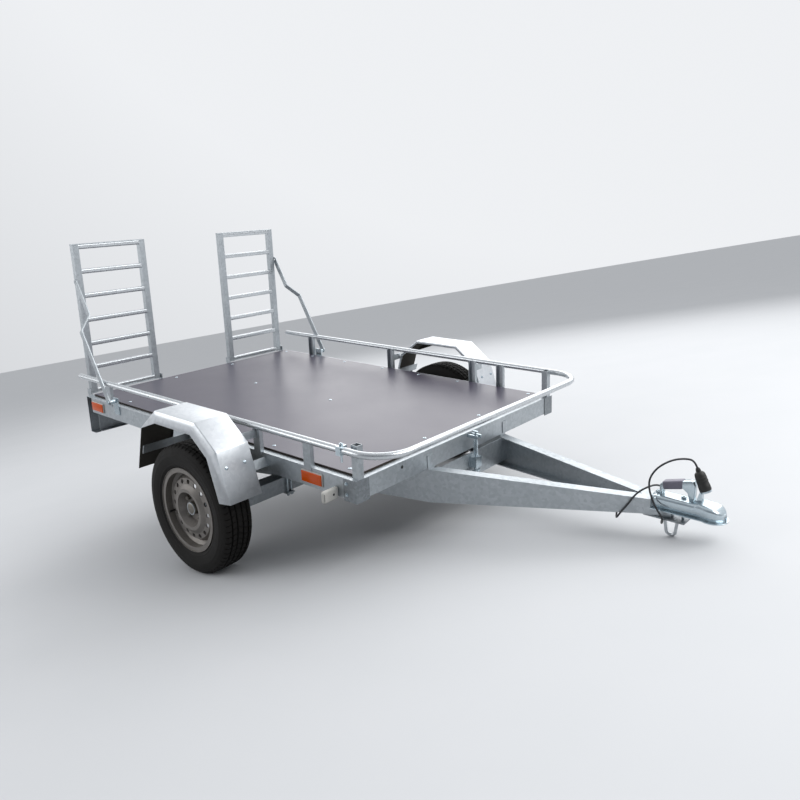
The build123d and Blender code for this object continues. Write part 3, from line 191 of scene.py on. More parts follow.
def phenolic_film():
    """Phenolic film pressed hot onto plywood: a hard mauve-brown skin with a satin gloss, scuffed
    in broad patches, with the press plate's fine weave under the gloss."""
    made, tree, shader = finish("phenolic_film_face", IOR=1.5, Specular_IOR_Level=0.28)
    place = add(tree, "ShaderNodeTexCoord").outputs["Object"]
    scuffs = add(tree, "ShaderNodeTexNoise",
                 {"Vector": place, "Scale": 3.2, "Detail": 7.0, "Roughness": 0.62})
    tint = add(tree, "ShaderNodeMix",
               {"Factor": scuffs.outputs["Fac"], 6: colour("#403c4a"), 7: colour("#4c4856")},
               data_type="RGBA")
    rough = add(tree, "ShaderNodeMapRange", {0: scuffs.outputs["Fac"], 1: 0.3, 2: 0.7, 3: 0.30, 4: 0.36})
    weave = add(tree, "ShaderNodeTexNoise", {"Vector": place, "Scale": 330.0, "Detail": 2.0})
    bump = add(tree, "ShaderNodeBump", {"Height": weave.outputs["Fac"], "Strength": 0.12, "Distance": 0.0004})
    tree.links.new(tint.outputs[2], shader.inputs["Base Color"])
    tree.links.new(rough.outputs[0], shader.inputs["Roughness"])
    tree.links.new(bump.outputs[0], shader.inputs["Normal"])
    return made


def ply_edge():
    """The sawn edge of 9 mm birch plywood under black edge sealer: seven plies show as faint bands."""
    made, tree, shader = finish("sealed_birch_ply_edge", Roughness=0.7)
    place = add(tree, "ShaderNodeTexCoord").outputs["Object"]
    level = add(tree, "ShaderNodeMapping", {"Vector": place, "Rotation": (0.0, -park_angle, 0.0)})
    ply_pair = 0.0026
    plies = add(tree, "ShaderNodeTexWave",
                {"Vector": level.outputs[0], "Scale": pi / 10 / ply_pair, "Distortion": 0.4},
                bands_direction="Z", wave_type="BANDS")
    tint = add(tree, "ShaderNodeMix",
               {"Factor": plies.outputs["Fac"], 6: colour("#17130f"), 7: colour("#372a20")},
               data_type="RGBA")
    tree.links.new(tint.outputs[2], shader.inputs["Base Color"])
    return made


def lens_plastic(name, tint, deep, rib):
    """Moulded clear or dyed polycarbonate: a glossy skin over a grid of small prisms that catch the light."""
    made, tree, shader = finish(name, IOR=1.58, Specular_IOR_Level=0.2, Roughness=0.16, Coat_Weight=0.15,
                                Coat_Roughness=0.08)
    place = add(tree, "ShaderNodeTexCoord").outputs["Object"]
    prisms = add(tree, "ShaderNodeTexVoronoi", {"Vector": place, "Scale": 1 / rib, "Randomness": 0.0},
                 distance="CHEBYCHEV")
    blend = add(tree, "ShaderNodeMix",
                {"Factor": prisms.outputs["Distance"], 6: colour(tint), 7: colour(deep)},
                data_type="RGBA")
    bump = add(tree, "ShaderNodeBump",
               {"Height": prisms.outputs["Distance"], "Strength": 0.4, "Distance": 0.0012})
    tree.links.new(blend.outputs[2], shader.inputs["Base Color"])
    tree.links.new(bump.outputs[0], shader.inputs["Normal"])
    return made


def moulded_plastic(name, dark, light, grain, rough_low, rough_high):
    """Injection-moulded or extruded plastic with a fine matt grain that shows a little wear."""
    made, tree, shader = finish(name, IOR=1.5)
    place = add(tree, "ShaderNodeTexCoord").outputs["Object"]
    wear = add(tree, "ShaderNodeTexNoise", {"Vector": place, "Scale": 45.0, "Detail": 5.0, "Roughness": 0.6})
    tint = add(tree, "ShaderNodeMix", {"Factor": wear.outputs["Fac"], 6: colour(dark), 7: colour(light)},
               data_type="RGBA")
    rough = add(tree, "ShaderNodeMapRange", {0: wear.outputs["Fac"], 3: rough_low, 4: rough_high})
    pebble = add(tree, "ShaderNodeTexNoise", {"Vector": place, "Scale": 1 / grain, "Detail": 2.0})
    bump = add(tree, "ShaderNodeBump", {"Height": pebble.outputs["Fac"], "Strength": 0.2, "Distance": 0.0003})
    tree.links.new(tint.outputs[2], shader.inputs["Base Color"])
    tree.links.new(rough.outputs[0], shader.inputs["Roughness"])
    tree.links.new(bump.outputs[0], shader.inputs["Normal"])
    return made


silver_enamel = wheel_enamel()

# Painted shade for the mudguards' inner faces: a dark, dead matt coat over the zinc that stands in for the
# shade inside the wheel arches.
painted_arch_shade = moulded_plastic("mudguard_inside_painted_shade", "#26241f", "#403c36", 0.0025, 0.85, 0.95)
rubber = tyre_rubber()
film = phenolic_film()
sealed_edge = ply_edge()

# Lenses of dyed polycarbonate; the clear one is seen over a pale reflector.
amber_lens = lens_plastic("amber_polycarbonate_lens", "#f76408", "#c64604", 0.006)
clear_lens = lens_plastic("clear_polycarbonate_lens", "#cdd2d4", "#9da4a8", 0.006)
red_lens = lens_plastic("red_polycarbonate_lens", "#a51410", "#6d0a08", 0.006)

# Black ABS, moulded with a fine grain: tail lamp bodies, lamp screws, plug and cable clip.
black_abs = moulded_plastic("black_moulded_abs", "#141413", "#2b2b29", 0.0012, 0.42, 0.58)
# White ABS, a little yellowed: the side markers' rims and the front lamps' bodies.
white_abs = moulded_plastic("white_moulded_abs", "#c9c6bf", "#e6e4de", 0.0012, 0.35, 0.5)
# Soft PVC sheath of the seven-core cable: dark, smooth and slightly shiny.
cable_sheath = moulded_plastic("pvc_cable_sheath", "#1d1e20", "#3a3c40", 0.0009, 0.32, 0.48)
# Dipped vinyl grip of the coupling handle: grey with a mauve cast.
vinyl_grip = moulded_plastic("mauve_grey_vinyl_grip", "#6d6a78", "#8b8896", 0.0009, 0.4, 0.55)

# ------------------------------------------------------------------ the drawbar cable

# The route's points in the deck frame: out of the clip inside the right arm, down and up beside the
# drawbar's nose, once right round the coupling, then in an arc over it to the plug's tail.
cable_route = (
    (636, -54, -122), (666, -51, -122), (684, -24, -132), (693, -10, -160), (702, -34, -186),
    (718, -66, -176), (734, -69, -149), (762, -60, -108), (778, -56, -78), (800, -48, -54),
    (820, -20, -43), (832, 16, -46), (842, 48, -64), (849, 60, -98), (852, 54, -140),
    (856, 22, -168), (866, -18, -173), (882, -46, -160), (886, -57, -134), (860, -54, -106),
    (842, -52, -72), (829, -47, -40), (824, -35, -8), (838, -16, 24), (866, -5, 50),
    (900, 0, 70), (938, 0, 81), (968, 0, 80.6), (978.4, 0, 56.8),
)
cable_line = bpy.data.curves.new("drawbar_cable", "CURVE")
cable_line.dimensions = "3D"
cable_line.bevel_depth = 0.0035
cable_line.bevel_resolution = 5
cable_line.resolution_u = 10
strand = cable_line.splines.new("NURBS")
strand.points.add(len(cable_route) - 1)
for point, spot in zip(strand.points, cable_route):
    point.co = (*on_deck(*spot), 1.0)
strand.order_u = 3
strand.use_endpoint_u = True
cable_line.materials.append(cable_sheath)
drawbar_cable = bpy.data.objects.new("drawbar_cable", cable_line)
bpy.context.collection.objects.link(drawbar_cable)
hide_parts("cable")
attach(drawbar_cable, "chassis")

# ------------------------------------------------------------------ ways of making the pieces


def piece(name, bm, materials, body, stands_for=(), crease=32.0, closed=True):
    """Turn a shape drawn in the deck frame into a named piece of the trailer that rides on a body."""
    bmesh.ops.remove_doubles(bm, verts=bm.verts, dist=0.002)
    if closed:
        bmesh.ops.recalc_face_normals(bm, faces=bm.faces)
    bmesh.ops.transform(bm, matrix=parked, verts=bm.verts)
    mesh = bpy.data.meshes.new(name)
    bm.to_mesh(mesh)
    bm.free()
    mesh.shade_smooth()
    mesh.set_sharp_from_angle(angle=radians(crease))
    for material in materials:
        mesh.materials.append(material)
    made = bpy.data.objects.new(name, mesh)
    bpy.context.collection.objects.link(made)
    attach(made, body)
    if stands_for:
        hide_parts(*stands_for)
    return made


def verts_in(parts):
    """The vertices among what an operator made."""
    return [part for part in parts if isinstance(part, bmesh.types.BMVert)]


def edges_in(parts):
    """The edges among what an operator made."""
    return [part for part in parts if isinstance(part, bmesh.types.BMEdge)]


def rounded(bm, edges, offset, segments, clamp=False):
    """Round a run of edges; with clamp, by no more than the short ones among them allow."""
    bmesh.ops.bevel(bm, geom=edges, offset=offset, offset_type="OFFSET", segments=segments, profile=0.5,
                    affect="EDGES", material=-1, clamp_overlap=clamp)


def edges_at(verts):
    """Every edge that meets any of the vertices, each once."""
    return {e for vert in verts for e in vert.link_edges}


def block(bm, corner, other, edge=0.0, segments=2):
    """A block between two opposite corners, given in either order, its edges rounded."""
    low, high = Vector(map(min, corner, other)), Vector(map(max, corner, other))
    place = Matrix.Translation((low + high) / 2) @ Matrix.Diagonal((*(high - low), 1.0))
    made = bmesh.ops.create_cube(bm, size=1.0, matrix=place)["verts"]
    if edge:
        rounded(bm, list(edges_at(made)), edge, segments, clamp=True)


def rod(bm, start, end, radius, sides=24, edge=0.0):
    """A round bar from one point to another, its end edges rounded; with 6 sides it is a hexagon."""
    start, end = Vector(start), Vector(end)
    along = end - start
    place = Matrix.Translation((start + end) / 2) @ along.to_track_quat("Z", "Y").to_matrix().to_4x4()
    made = bmesh.ops.create_cone(bm, cap_ends=True, segments=sides, radius1=radius, radius2=radius,
                                 depth=along.length, matrix=place)["verts"]
    if edge:
        rims = [e for e in edges_at(made) if any(len(f.verts) > 4 for f in e.link_faces)]
        rounded(bm, rims, edge, 2, clamp=True)


def turned(bm, outline, spot, axis, steps=48):
    """A turned part: an outline of (distance along the axis, radius), spun about the axis through a spot."""
    axis, spot = Vector(axis).normalized(), Vector(spot)
    across = axis.orthogonal().normalized()
    verts = [bm.verts.new(spot + axis * along + across * radius) for along, radius in outline]
    edges = [bm.edges.new(pair) for pair in zip(verts, verts[1:])]
    bmesh.ops.spin(bm, geom=verts + edges, cent=spot, axis=axis, dvec=(0, 0, 0), angle=2 * pi, steps=steps,
                   use_merge=True, use_duplicate=False)


def slab(bm, outline, y_from, y_to, edge=0.0, segments=2):
    """A plate drawn in side view by its (x, z) outline, from one y to another, its edges rounded."""
    before = set(bm.faces)
    face = bm.faces.new([bm.verts.new((x, y_from, z)) for x, z in outline])
    pushed = bmesh.ops.extrude_face_region(bm, geom=[face], use_keep_orig=True)["geom"]
    bmesh.ops.translate(bm, vec=(0, y_to - y_from, 0), verts=verts_in(pushed))
    if edge:
        edges = {e for f in bm.faces if f not in before for e in f.edges}
        rounded(bm, list(edges), edge, segments, clamp=True)


def hexagon(across):
    """The radius to the corners of a hexagon, from its size across the flats."""
    return across / 2 / cos(pi / 6)


washer_height, bolt_end = 1.6, 2.2


def bolt(bm, spot, outward, across, height, washer):
    """A hexagon head on its washer, with the bolt's own end over it, standing on a face."""
    spot, outward = Vector(spot), Vector(outward).normalized()
    seat = spot + outward * washer_height
    top = spot + outward * (washer_height + height)
    rod(bm, spot, seat, washer / 2, sides=20, edge=0.4)
    rod(bm, seat, top, hexagon(across), sides=6, edge=0.8)
    rod(bm, top, top + outward * bolt_end, across * 0.26, sides=12, edge=0.5)


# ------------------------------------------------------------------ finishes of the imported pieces

packed_finishes = (
    (galvanised_tube, ("guard_rail", "rest_loop", "tilt_hinge_tube", "ramp_pins")),
    (zinc_plate, ("ball_socket", "latch_bracket", "latch_fork", "latch_rod", "plug_holder", "rail_clamps",
                  "strut_brackets")),
    (weathered_plate, ("corner_plates", "nose_plate")),
    (silver_enamel, ("rim_right", "rim_left")),
    (black_abs, ("cable_clip",)),
    (galvanised_steel, (
        "axle_tube", "corner_posts", "cross_members", "drawbar_arm_left", "drawbar_arm_right",
        "drawbar_cross_member", "front_beam", "hub_left", "hub_right", "mudguard_stays",
        "rail_posts_left", "rail_posts_right", "ramp_ears", "ramp_stiles_left", "ramp_stiles_right",
        "rear_beam", "rear_stiffener", "rest_pads", "side_beam_left", "side_beam_right", "strut_left",
        "strut_right", "swing_arm_left", "swing_arm_right", "tilt_hinge_lugs")),
)
for material, names in packed_finishes:
    for name in names:
        for slot in nodes[name].material_slots:
            slot.material = material

# ------------------------------------------------------------------ deck board

board_top = 9
board = bmesh.new()
block(board, (-2010, -655, 0), (-30, 655, board_top))
rounded(board, board.edges[:], 0.5, 1)
for face in board.faces:
    face.normal_update()
    face.material_index = 0 if abs(face.normal.z) > 0.8 else 1
piece("deck_board", board, (film, sealed_edge), "bed", ("floor_panel",))

screw_spots = (
    *[(x, s * 622) for s in (-1, 1) for x in (-95, -541, -815, -1094, -1412, -1700, -1960)],
    *[(x, s * 193) for s in (-1, 1) for x in (-88, -1960)],
    (-852, -16), (-1454, -16),
)
screw_head = ((0.0, 8.5), (0.9, 8.3), (2.0, 6.6), (2.6, 3.4), (2.6, 2.6), (1.5, 2.2), (1.5, 0.0))
screws = bmesh.new()
for x, y in screw_spots:
    turned(screws, screw_head, (x, y, board_top), (0, 0, 1), steps=18)
piece("deck_screws", screws, (zinc_plate,), "bed")

# ------------------------------------------------------------------ mudguards

# Half of the mudguard's side view, from the wheel's middle outward: the foot, the knee and the top's edge.
guard_foot, guard_knee, guard_top = (337, -133), (271, 69), (145, 165)
slope_turn = atan2(guard_top[1] - guard_knee[1], guard_knee[0] - guard_top[0])
foot_turn = atan2(guard_knee[1] - guard_foot[1], guard_foot[0] - guard_knee[0])
knee_turn = (slope_turn + foot_turn) / 2
knee_stretch = 1 / cos((foot_turn - slope_turn) / 2)


def guard_line(inset):
    """The mudguard's five sides from its rear foot to its front foot, each moved inward by an inset."""
    knee_inset = inset * knee_stretch
    half = (
        (guard_foot[0] - inset / sin(foot_turn), guard_foot[1]),
        (guard_knee[0] - knee_inset * sin(knee_turn), guard_knee[1] - knee_inset * cos(knee_turn)),
        (guard_top[0] - inset * tan(slope_turn / 2), guard_top[1] - inset),
    )
    return (*[(axle_x - x, z) for x, z in half], *[(axle_x + x, z) for x, z in reversed(half)])


def folded_out(bm, edges, y, spots):
    """Fold a strip out from a run of edges, its far edge at y and at the spots named in side view.
    Returns the far edge: its vertices and its edges."""
    made = bmesh.ops.extrude_edge_only(bm, edges=edges)["geom"]
    far = sorted(verts_in(made), key=lambda v: (v.co.x, -v.co.z))
    for vert, (x, z) in zip(far, spots):
        vert.co = (x, y, z)
    return far, [edge for edge in edges_in(made) if set(edge.verts) <= set(far)]


def walled(made, thickness):
    """Give a sheet its wall, inward from the face that was drawn."""
    wall = made.modifiers.new("wall", "SOLIDIFY")
    wall.thickness = thickness
    wall.offset = -1.0
    return wall


# The sheet lies between an inner and an outer edge. A narrow lip hangs from the inner edge, and
# another, flared, from the outer edge over the front three sides.
guard_inner, guard_outer, guard_hem = 758.8, 910.2, 926.2
inner_lip, outer_lip = 15, 49
for side, s in SIDES:
    guard = bmesh.new()
    ring = [guard.verts.new((x, s * guard_inner, z)) for x, z in guard_line(0)]
    line = [guard.edges.new(pair) for pair in zip(ring, ring[1:])]
    outer, outer_line = folded_out(guard, line, s * guard_outer, guard_line(0))
    outer_line.sort(key=lambda e: e.verts[0].co.x + e.verts[1].co.x)
    folded_out(guard, line, s * guard_inner, guard_line(inner_lip))
    hem, _ = folded_out(guard, outer_line[2:], s * guard_hem, guard_line(outer_lip)[2:])
    guard.faces.new((outer[1], outer[2], hem[0]))
    bmesh.ops.recalc_face_normals(guard, faces=guard.faces)
    rounded(guard, [e for e in guard.edges if len(e.link_faces) == 2], 3.0, 3)
    top_face = max(guard.faces, key=lambda f: f.calc_area())
    if top_face.normal.z < 0:
        bmesh.ops.reverse_faces(guard, faces=guard.faces)
    # The sheet's outer face is bright zinc. Its inner face, through the wall's second finish, is painted
    # shade of the wheel arch.
    made = piece(f"mudguard_sheet_{side}", guard, (bright_sheet, painted_arch_shade), "bed",
                 (f"mudguard_{side}",), closed=False)
    walled(made, 0.0015).material_offset = 1

# ------------------------------------------------------------------ tyres

# One half of the tyre's section, from the bead to the crown: (distance from the middle, radius).
tyre_flank = (
    (58.0, 165.6), (58.0, 182.5), (60.4, 185.0), (64.6, 191.5), (66.6, 196.0), (67.6, 197.0),
    (68.2, 200.0), (67.9, 201.2), (69.8, 208.0), (71.2, 216.0), (72.1, 224.0), (72.4, 231.0),
    (72.9, 233.0), (72.9, 236.5), (72.2, 238.5), (71.3, 246.0), (69.9, 253.0), (69.0, 254.0),
    (68.2, 257.5), (65.8, 263.5), (61.8, 271.0), (57.0, 275.8), (50.0, 279.3),
)
tyre_tread = (
    (41.5, 279.9), (40.6, 272.4), (34.6, 272.4), (33.7, 280.2),
    (17.4, 280.8), (16.5, 273.3), (10.9, 273.3), (10.0, 280.9),
)
tyre_lining = (
    (48.0, 165.6), (57.0, 190.0), (62.5, 215.0), (63.4, 232.0), (60.5, 250.0), (54.0, 262.5), (44.0, 267.5),
)


def mirrored(half):
    """A half section, then its mirror image back to where it started."""
    return (*half, *[(-w, r) for w, r in reversed(half)])


tyre_section = mirrored([(-w, r) for w, r in tyre_flank + tyre_tread]) + mirrored(tyre_lining)

# The tread's cross grooves. Each pitch round the tyre has rings of vertices at these places, and
# between the last two the tread is cut down. The blocks lean by a share of a pitch towards the
# shoulder, and the two sides are staggered by half a pitch. Below the tread's face the same grooves
# are shallow notches in the shoulder.
pitches, ring_places = 66, (0.0, 0.80, 0.82, 0.98)
rings = len(ring_places)
pitch = 2 * pi / pitches
tread_start, tread_blend, groove_lean, groove_stagger = 262.0, 6.0, 0.55, 0.5
tread_face, tread_half, shoulder, middle_rib = 274.5, 58.0, 57.0, 30.0
notch_start, notch_spread = 266.0, 60.0
outer_depth, middle_depth, notch_depth = 5.2, 3.2, 2.2
for side, s in SIDES:
    tyre = bmesh.new()
    hub_spot = Vector((axle_x, s * wheel_offset, axle_z))
    verts = [tyre.verts.new((hub_spot.x, hub_spot.y + s * w, hub_spot.z + r)) for w, r in tyre_section]
    edges = [tyre.edges.new(pair) for pair in zip(verts, verts[1:] + verts[:1])]
    bmesh.ops.spin(tyre, geom=verts + edges, cent=hub_spot, axis=(0, 1, 0), dvec=(0, 0, 0), angle=2 * pi,
                   steps=pitches * rings, use_merge=True, use_duplicate=False)
    for vert in tyre.verts:
        out = vert.co - hub_spot
        radius, spread = hypot(out.x, out.z), abs(out.y)
        turn = Vector((out.z, out.x)).angle_signed(Vector((1, 0))) % (2 * pi)
        number, ring = divmod(round(turn / (2 * pi) * pitches * rings), rings)
        angle = (number + ring_places[ring]) * pitch
        if radius > tread_start:
            lean = groove_lean * min(spread, shoulder) / shoulder + (groove_stagger if out.y > 0 else 0.0)
            angle += pitch * lean * min((radius - tread_start) / tread_blend, 1.0)
        cut = ring > 1
        if cut and radius > tread_face and spread < tread_half:
            radius -= outer_depth if spread > middle_rib else middle_depth
        elif cut and notch_start < radius <= tread_face and spread > notch_spread:
            radius -= notch_depth
        vert.co = hub_spot + Vector((sin(angle) * radius, out.y, cos(angle) * radius))
    piece(f"road_tyre_{side}", tyre, (rubber,), f"wheel_{side}", (f"tyre_{side}",),
          crease=28.0)

# ------------------------------------------------------------------ wheel nuts, grease caps and valves

nut_circle, valve_circle = 50, 151
nut_foot, nut_face, stud_end, nut_across = 3.0, 14.0, 17.5, 19.0
cap_outline = (
    (0, 30.0), (2.5, 30.0), (3.5, 28.2), (20, 27.9), (24, 26.2), (27, 21.5), (29, 13.0), (29.6, 0.0),
)
valve_outline = (
    (-14, 5.6), (0, 5.6), (6, 5.0), (16, 3.9), (24, 3.6), (24.5, 4.2), (32, 4.2), (33, 3.4), (33, 0),
)


def on_wheel(s, radius, degrees, y):
    """A point on a wheel's outer side, at a radius and an angle from straight ahead."""
    angle = radians(degrees)
    return Vector((axle_x + radius * cos(angle), s * y, axle_z + radius * sin(angle)))


for side, s in SIDES:
    small = bmesh.new()
    out = Vector((0, s, 0))
    for degrees in (45, 135, 225, 315):
        spot = on_wheel(s, nut_circle, degrees, 858)
        rod(small, spot, spot + out * nut_foot, 11.5, edge=0.6)
        rod(small, spot + out * nut_foot, spot + out * nut_face, hexagon(nut_across), sides=6, edge=1.2)
        rod(small, spot + out * nut_face, spot + out * stud_end, 6.0, sides=16, edge=0.8)
    turned(small, cap_outline, (axle_x, s * 854, axle_z), out, steps=40)
    piece(f"wheel_nuts_{side}", small, (dulled_zinc,), f"wheel_{side}")
    valve = bmesh.new()
    turned(valve, valve_outline, on_wheel(s, valve_circle, 198, 862), out, steps=16)
    piece(f"tyre_valve_{side}", valve, (rubber,), f"wheel_{side}")

# ------------------------------------------------------------------ ramp rungs

rung_count, rung_depth, rung_height = 7, 20.0, 26.0
stile_foot, stile_height, stile_x = 5.0, 796.0, -2059
rung_near, rung_far = 276.0, 615.0
rung_pitch = (stile_height - rung_height) / (rung_count - 1)
for side, s in SIDES:
    rungs = bmesh.new()
    for number in range(rung_count):
        z = stile_foot + rung_height / 2 + number * rung_pitch
        place = Matrix.Translation((stile_x, s * (rung_near + rung_far) / 2, z))
        shape = Matrix.Diagonal((rung_depth, rung_far - rung_near, rung_height, 1.0))
        made = bmesh.ops.create_cube(rungs, size=1.0, matrix=place @ shape)["verts"]
        rounded(rungs, [e for e in edges_at(made) if abs(e.verts[0].co.y - e.verts[1].co.y) > 1], 7.0, 5)
    piece(f"ramp_rungs_rolled_{side}", rungs, (galvanised_tube,), f"ramp_{side}",
          (f"ramp_rungs_{side}",))

# The flat bar welded across the tops of each ramp's stiles.
for side, s in SIDES:
    bar = bmesh.new()
    block(bar, (-2079.4, s * 243.5, 798.0), (-2048.6, s * 647.5, 803.0), edge=0.8)
    piece(f"ramp_top_bar_{side}", bar, (galvanised_steel,), f"ramp_{side}")

# ------------------------------------------------------------------ coupling

coupling_rear, coupling_top, coupling_bottom, ball_x = 832.0, -67.0, -118.0, 1042.0
# The shell's section, from its half width and its height as 1: upright sides, then a quarter round
# that starts at these shares of the width and the height, then a flat top.
round_width, round_height = 0.673, 0.765
quarter_round = [
    (round_width + (1 - round_width) * cos(turn), round_height + (1 - round_height) * sin(turn))
    for turn in map(radians, (0, 22.5, 45, 67.5, 90))
]
half_section = ((1.0, 0.0), *quarter_round, (0.0, 1.0))
section = (*[(-y, z) for y, z in half_section[:-1]], *reversed(half_section))

# Stations along the pressed shell, from its rear to its nose: (x, half width, height of the top).
stations = (
    (832, 36.7, -67), (856, 36.7, -67), (905, 36.7, -67), (950, 36.7, -67), (980, 36.7, -67),
    (991, 37.2, -63.4), (1004, 38.4, -63), (1018, 40.0, -64.4), (1030, 42.2, -66), (1046, 42.8, -67.6),
    (1058, 40.2, -71), (1067, 35.8, -76), (1075, 28.6, -83), (1080, 21.6, -90), (1084, 11.0, -98),
)


def shell_spots(x, width, top):
    """The shell's section, drawn at a station."""
    return [(x, y * width, coupling_bottom + z * (top - coupling_bottom)) for y, z in section]


def section_order(vert):
    """Where a vertex comes in the section's order: up the right side, then down the left."""
    return round(vert.co.y, 3), vert.co.z if vert.co.y < 0 else -vert.co.z


shell = bmesh.new()
spots = [shell.verts.new(spot) for spot in shell_spots(*stations[0])]
line = [shell.edges.new(pair) for pair in zip(spots, spots[1:])]
for station in stations[1:]:
    pushed = bmesh.ops.extrude_edge_only(shell, edges=line)["geom"]
    for vert, spot in zip(sorted(verts_in(pushed), key=section_order), shell_spots(*station)):
        vert.co = spot
    line = edges_in(pushed)
bmesh.ops.edgeloop_fill(shell, edges=line)
bmesh.ops.recalc_face_normals(shell, faces=shell.faces)
if max(shell.faces, key=lambda f: f.calc_center_median().z).normal.z < 0:
    bmesh.ops.reverse_faces(shell, faces=shell.faces)
made = piece("coupling_shell", shell, (zinc_plate,), "chassis", ("coupling_head",), crease=50,
             closed=False)
walled(made, 0.004)

# The flange pressed round the foot of the coupling: two straight runs and a ring round the ball.
# What the ring would put inside the straight part is deleted.
flange_inner, flange_outer = 35, 44.5
flange_ring = ((0.0, 39.0), (0.0, 50.4), (0.6, 51.0), (3.4, 51.0), (4.0, 50.4), (4.0, 39.0))
flange = bmesh.new()
for s in (-1, 1):
    block(flange, (coupling_rear, s * flange_inner, coupling_bottom),
          (ball_x, s * flange_outer, coupling_bottom + 4), edge=1.2)
turned(flange, flange_ring, (ball_x, 0, coupling_bottom), (0, 0, 1))
behind = [v for v in flange.verts if v.co.x < ball_x and abs(v.co.y) < flange_inner - 0.1]
bmesh.ops.delete(flange, geom=behind, context="VERTS")
piece("coupling_flange", flange, (zinc_plate,), "chassis")


def over_coupling(*outline):
    """A side view drawn from the coupling's rear top corner."""
    return [(coupling_rear + x, coupling_top + z) for x, z in outline]


handle = bmesh.new()
handle_outline = over_coupling((22, 0), (22, 37), (31, 48), (129, 74), (141, 72), (147, 58), (144, 0),
                               (128, 0), (122, 27), (104, 40), (33, 22), (32, 0))
slab(handle, handle_outline, -14, 14, edge=2.2)
piece("coupling_handle_pressed", handle, (zinc_plate,), "chassis", ("coupling_handle",))

grip = bmesh.new()
slab(grip, over_coupling((30, 50), (104, 70), (104, 38), (36, 21)), -16.5, 16.5, edge=5.0, segments=3)
piece("coupling_grip", grip, (vinyl_grip,), "chassis")

bolt_foot = -152
coupling_bolts = bmesh.new()
for x in (846.0, 938.0):
    rod(coupling_bolts, (x, 0, coupling_top), (x, 0, bolt_foot), 4.9, sides=16)
    bolt(coupling_bolts, (x, 0, coupling_top), (0, 0, 1), across=16, height=7, washer=20)
    bolt(coupling_bolts, (x, 0, bolt_foot), (0, 0, -1), across=16, height=8, washer=20)
piece("coupling_hex_bolts", coupling_bolts, (zinc_plate,), "chassis", ("coupling_bolts",))

# ------------------------------------------------------------------ lighting plug

plug_tail, plug_mouth = Vector((984, 0, 44)), Vector((1012, 0, -20))
plug_outline = (
    (-14, 0.0), (-14, 5.2), (-12.5, 6.6), (-9, 7.2), (-8, 8.4), (-2, 8.8), (-1, 7.8), (0, 8.6), (2, 13.0),
    (6, 17.0), (12, 18.6), (20, 19.0), (21, 20.0), (25, 20.0), (26, 19.0), (31, 19.2), (32, 20.2), (36, 20.2),
    (37, 19.3), (48, 19.6), (50, 20.6), (66, 20.9), (68, 20.2), (69.8, 19.4), (69.8, 0.0),
)
plug_ribs, rib_circle, rib_start, rib_end = 12, 20.0, 51, 65
plug = bmesh.new()
plug_axis = (plug_mouth - plug_tail).normalized()
turned(plug, plug_outline, plug_tail, plug_axis, steps=40)
for number in range(plug_ribs):
    around = Matrix.Rotation(2 * pi * number / plug_ribs, 3, plug_axis) @ plug_axis.orthogonal().normalized()
    start, end = (plug_tail + plug_axis * along + around * rib_circle for along in (rib_start, rib_end))
    rod(plug, start, end, 1.1, sides=8, edge=0.3)
plug_body = piece("lighting_plug", plug, (black_abs,), "chassis", ("plug",))

# ------------------------------------------------------------------ lamps

# Side markers: an amber lens in a white rim, on the side beams near both ends.
rims, ambers = bmesh.new(), bmesh.new()
for s in (-1, 1):
    for x in (-237.0, -1918.0):
        block(rims, (x - 60, s * 685.0, -65), (x + 60, s * 690.0, -15), edge=1.6)
        block(ambers, (x - 56, s * 689.0, -61.5), (x + 56, s * 694.0, -18.5), edge=1.8, segments=3)
piece("side_marker_rims", rims, (white_abs,), "bed", ("side_markers",))
piece("side_marker_lenses", ambers, (amber_lens,), "bed")

# Front lamps, standing out from the side beams: a white body with a black back, and a hole and a slot painted
# as thin black pieces, painted shade. One more hole, on the front beam, is painted as a thin black disc:
# painted shade.
bodies, lamp_backs_and_painted_holes = bmesh.new(), bmesh.new()
for s in (-1, 1):
    block(bodies, (-112, s * 685.5, -88.0), (-92.3, s * 760.5, -40.0), edge=9.0, segments=4)
    block(lamp_backs_and_painted_holes, (-114, s * 686.0, -84), (-109, s * 750.0, -44), edge=1.5)
    # Painted shade: the hole is a thin black disc on the lamp's face, and the slot a black block showing at
    # its rounded corner.
    turned(lamp_backs_and_painted_holes, ((0.0, 5.0), (0.8, 4.6), (1.0, 0.0)), (-92.8, s * 712, -64), (1, 0, 0), steps=16)
    block(lamp_backs_and_painted_holes, (-98, s * 750.0, -79), (-93.4, s * 757.0, -50), edge=0.8)
# Painted shade: the front beam's hole, a thin black disc on its face.
turned(lamp_backs_and_painted_holes, ((0.0, 7.0), (0.5, 6.8), (0.7, 0.0)), (0.0, -435.0, -23.0), (1, 0, 0), steps=20)
piece("front_lamp_bodies", bodies, (white_abs,), "bed", ("front_lamps",))
piece("front_lamp_details", lamp_backs_and_painted_holes, (black_abs,), "bed")

# Tail lamps: amber outside, red in the middle and clear inside, on one black body with two screws.
lens_face = -2067.5
lamp_screw_head = ((0.0, 4.0), (0.4, 3.6), (0.5, 0.0))
tails, tail_reds, tail_ambers, tail_clears = bmesh.new(), bmesh.new(), bmesh.new(), bmesh.new()
lamp_screws = bmesh.new()
for s in (-1, 1):
    block(tails, (-2058, s * 470.0, -185), (-2040, s * 650.0, -105), edge=3.5, segments=3)
    for lens, start, end in ((tail_ambers, 604, 646), (tail_reds, 516, 602), (tail_clears, 474, 514)):
        block(lens, (lens_face, s * start, -181), (-2055, s * end, -109), edge=3.0, segments=3)
    for y in (490.0, 625.0):
        turned(lamp_screws, lamp_screw_head, (lens_face, s * y, -145), (-1, 0, 0), steps=14)
piece("tail_lamp_bodies", tails, (black_abs,), "bed", ("tail_lamps",))
piece("tail_lamp_red_lenses", tail_reds, (red_lens,), "bed")
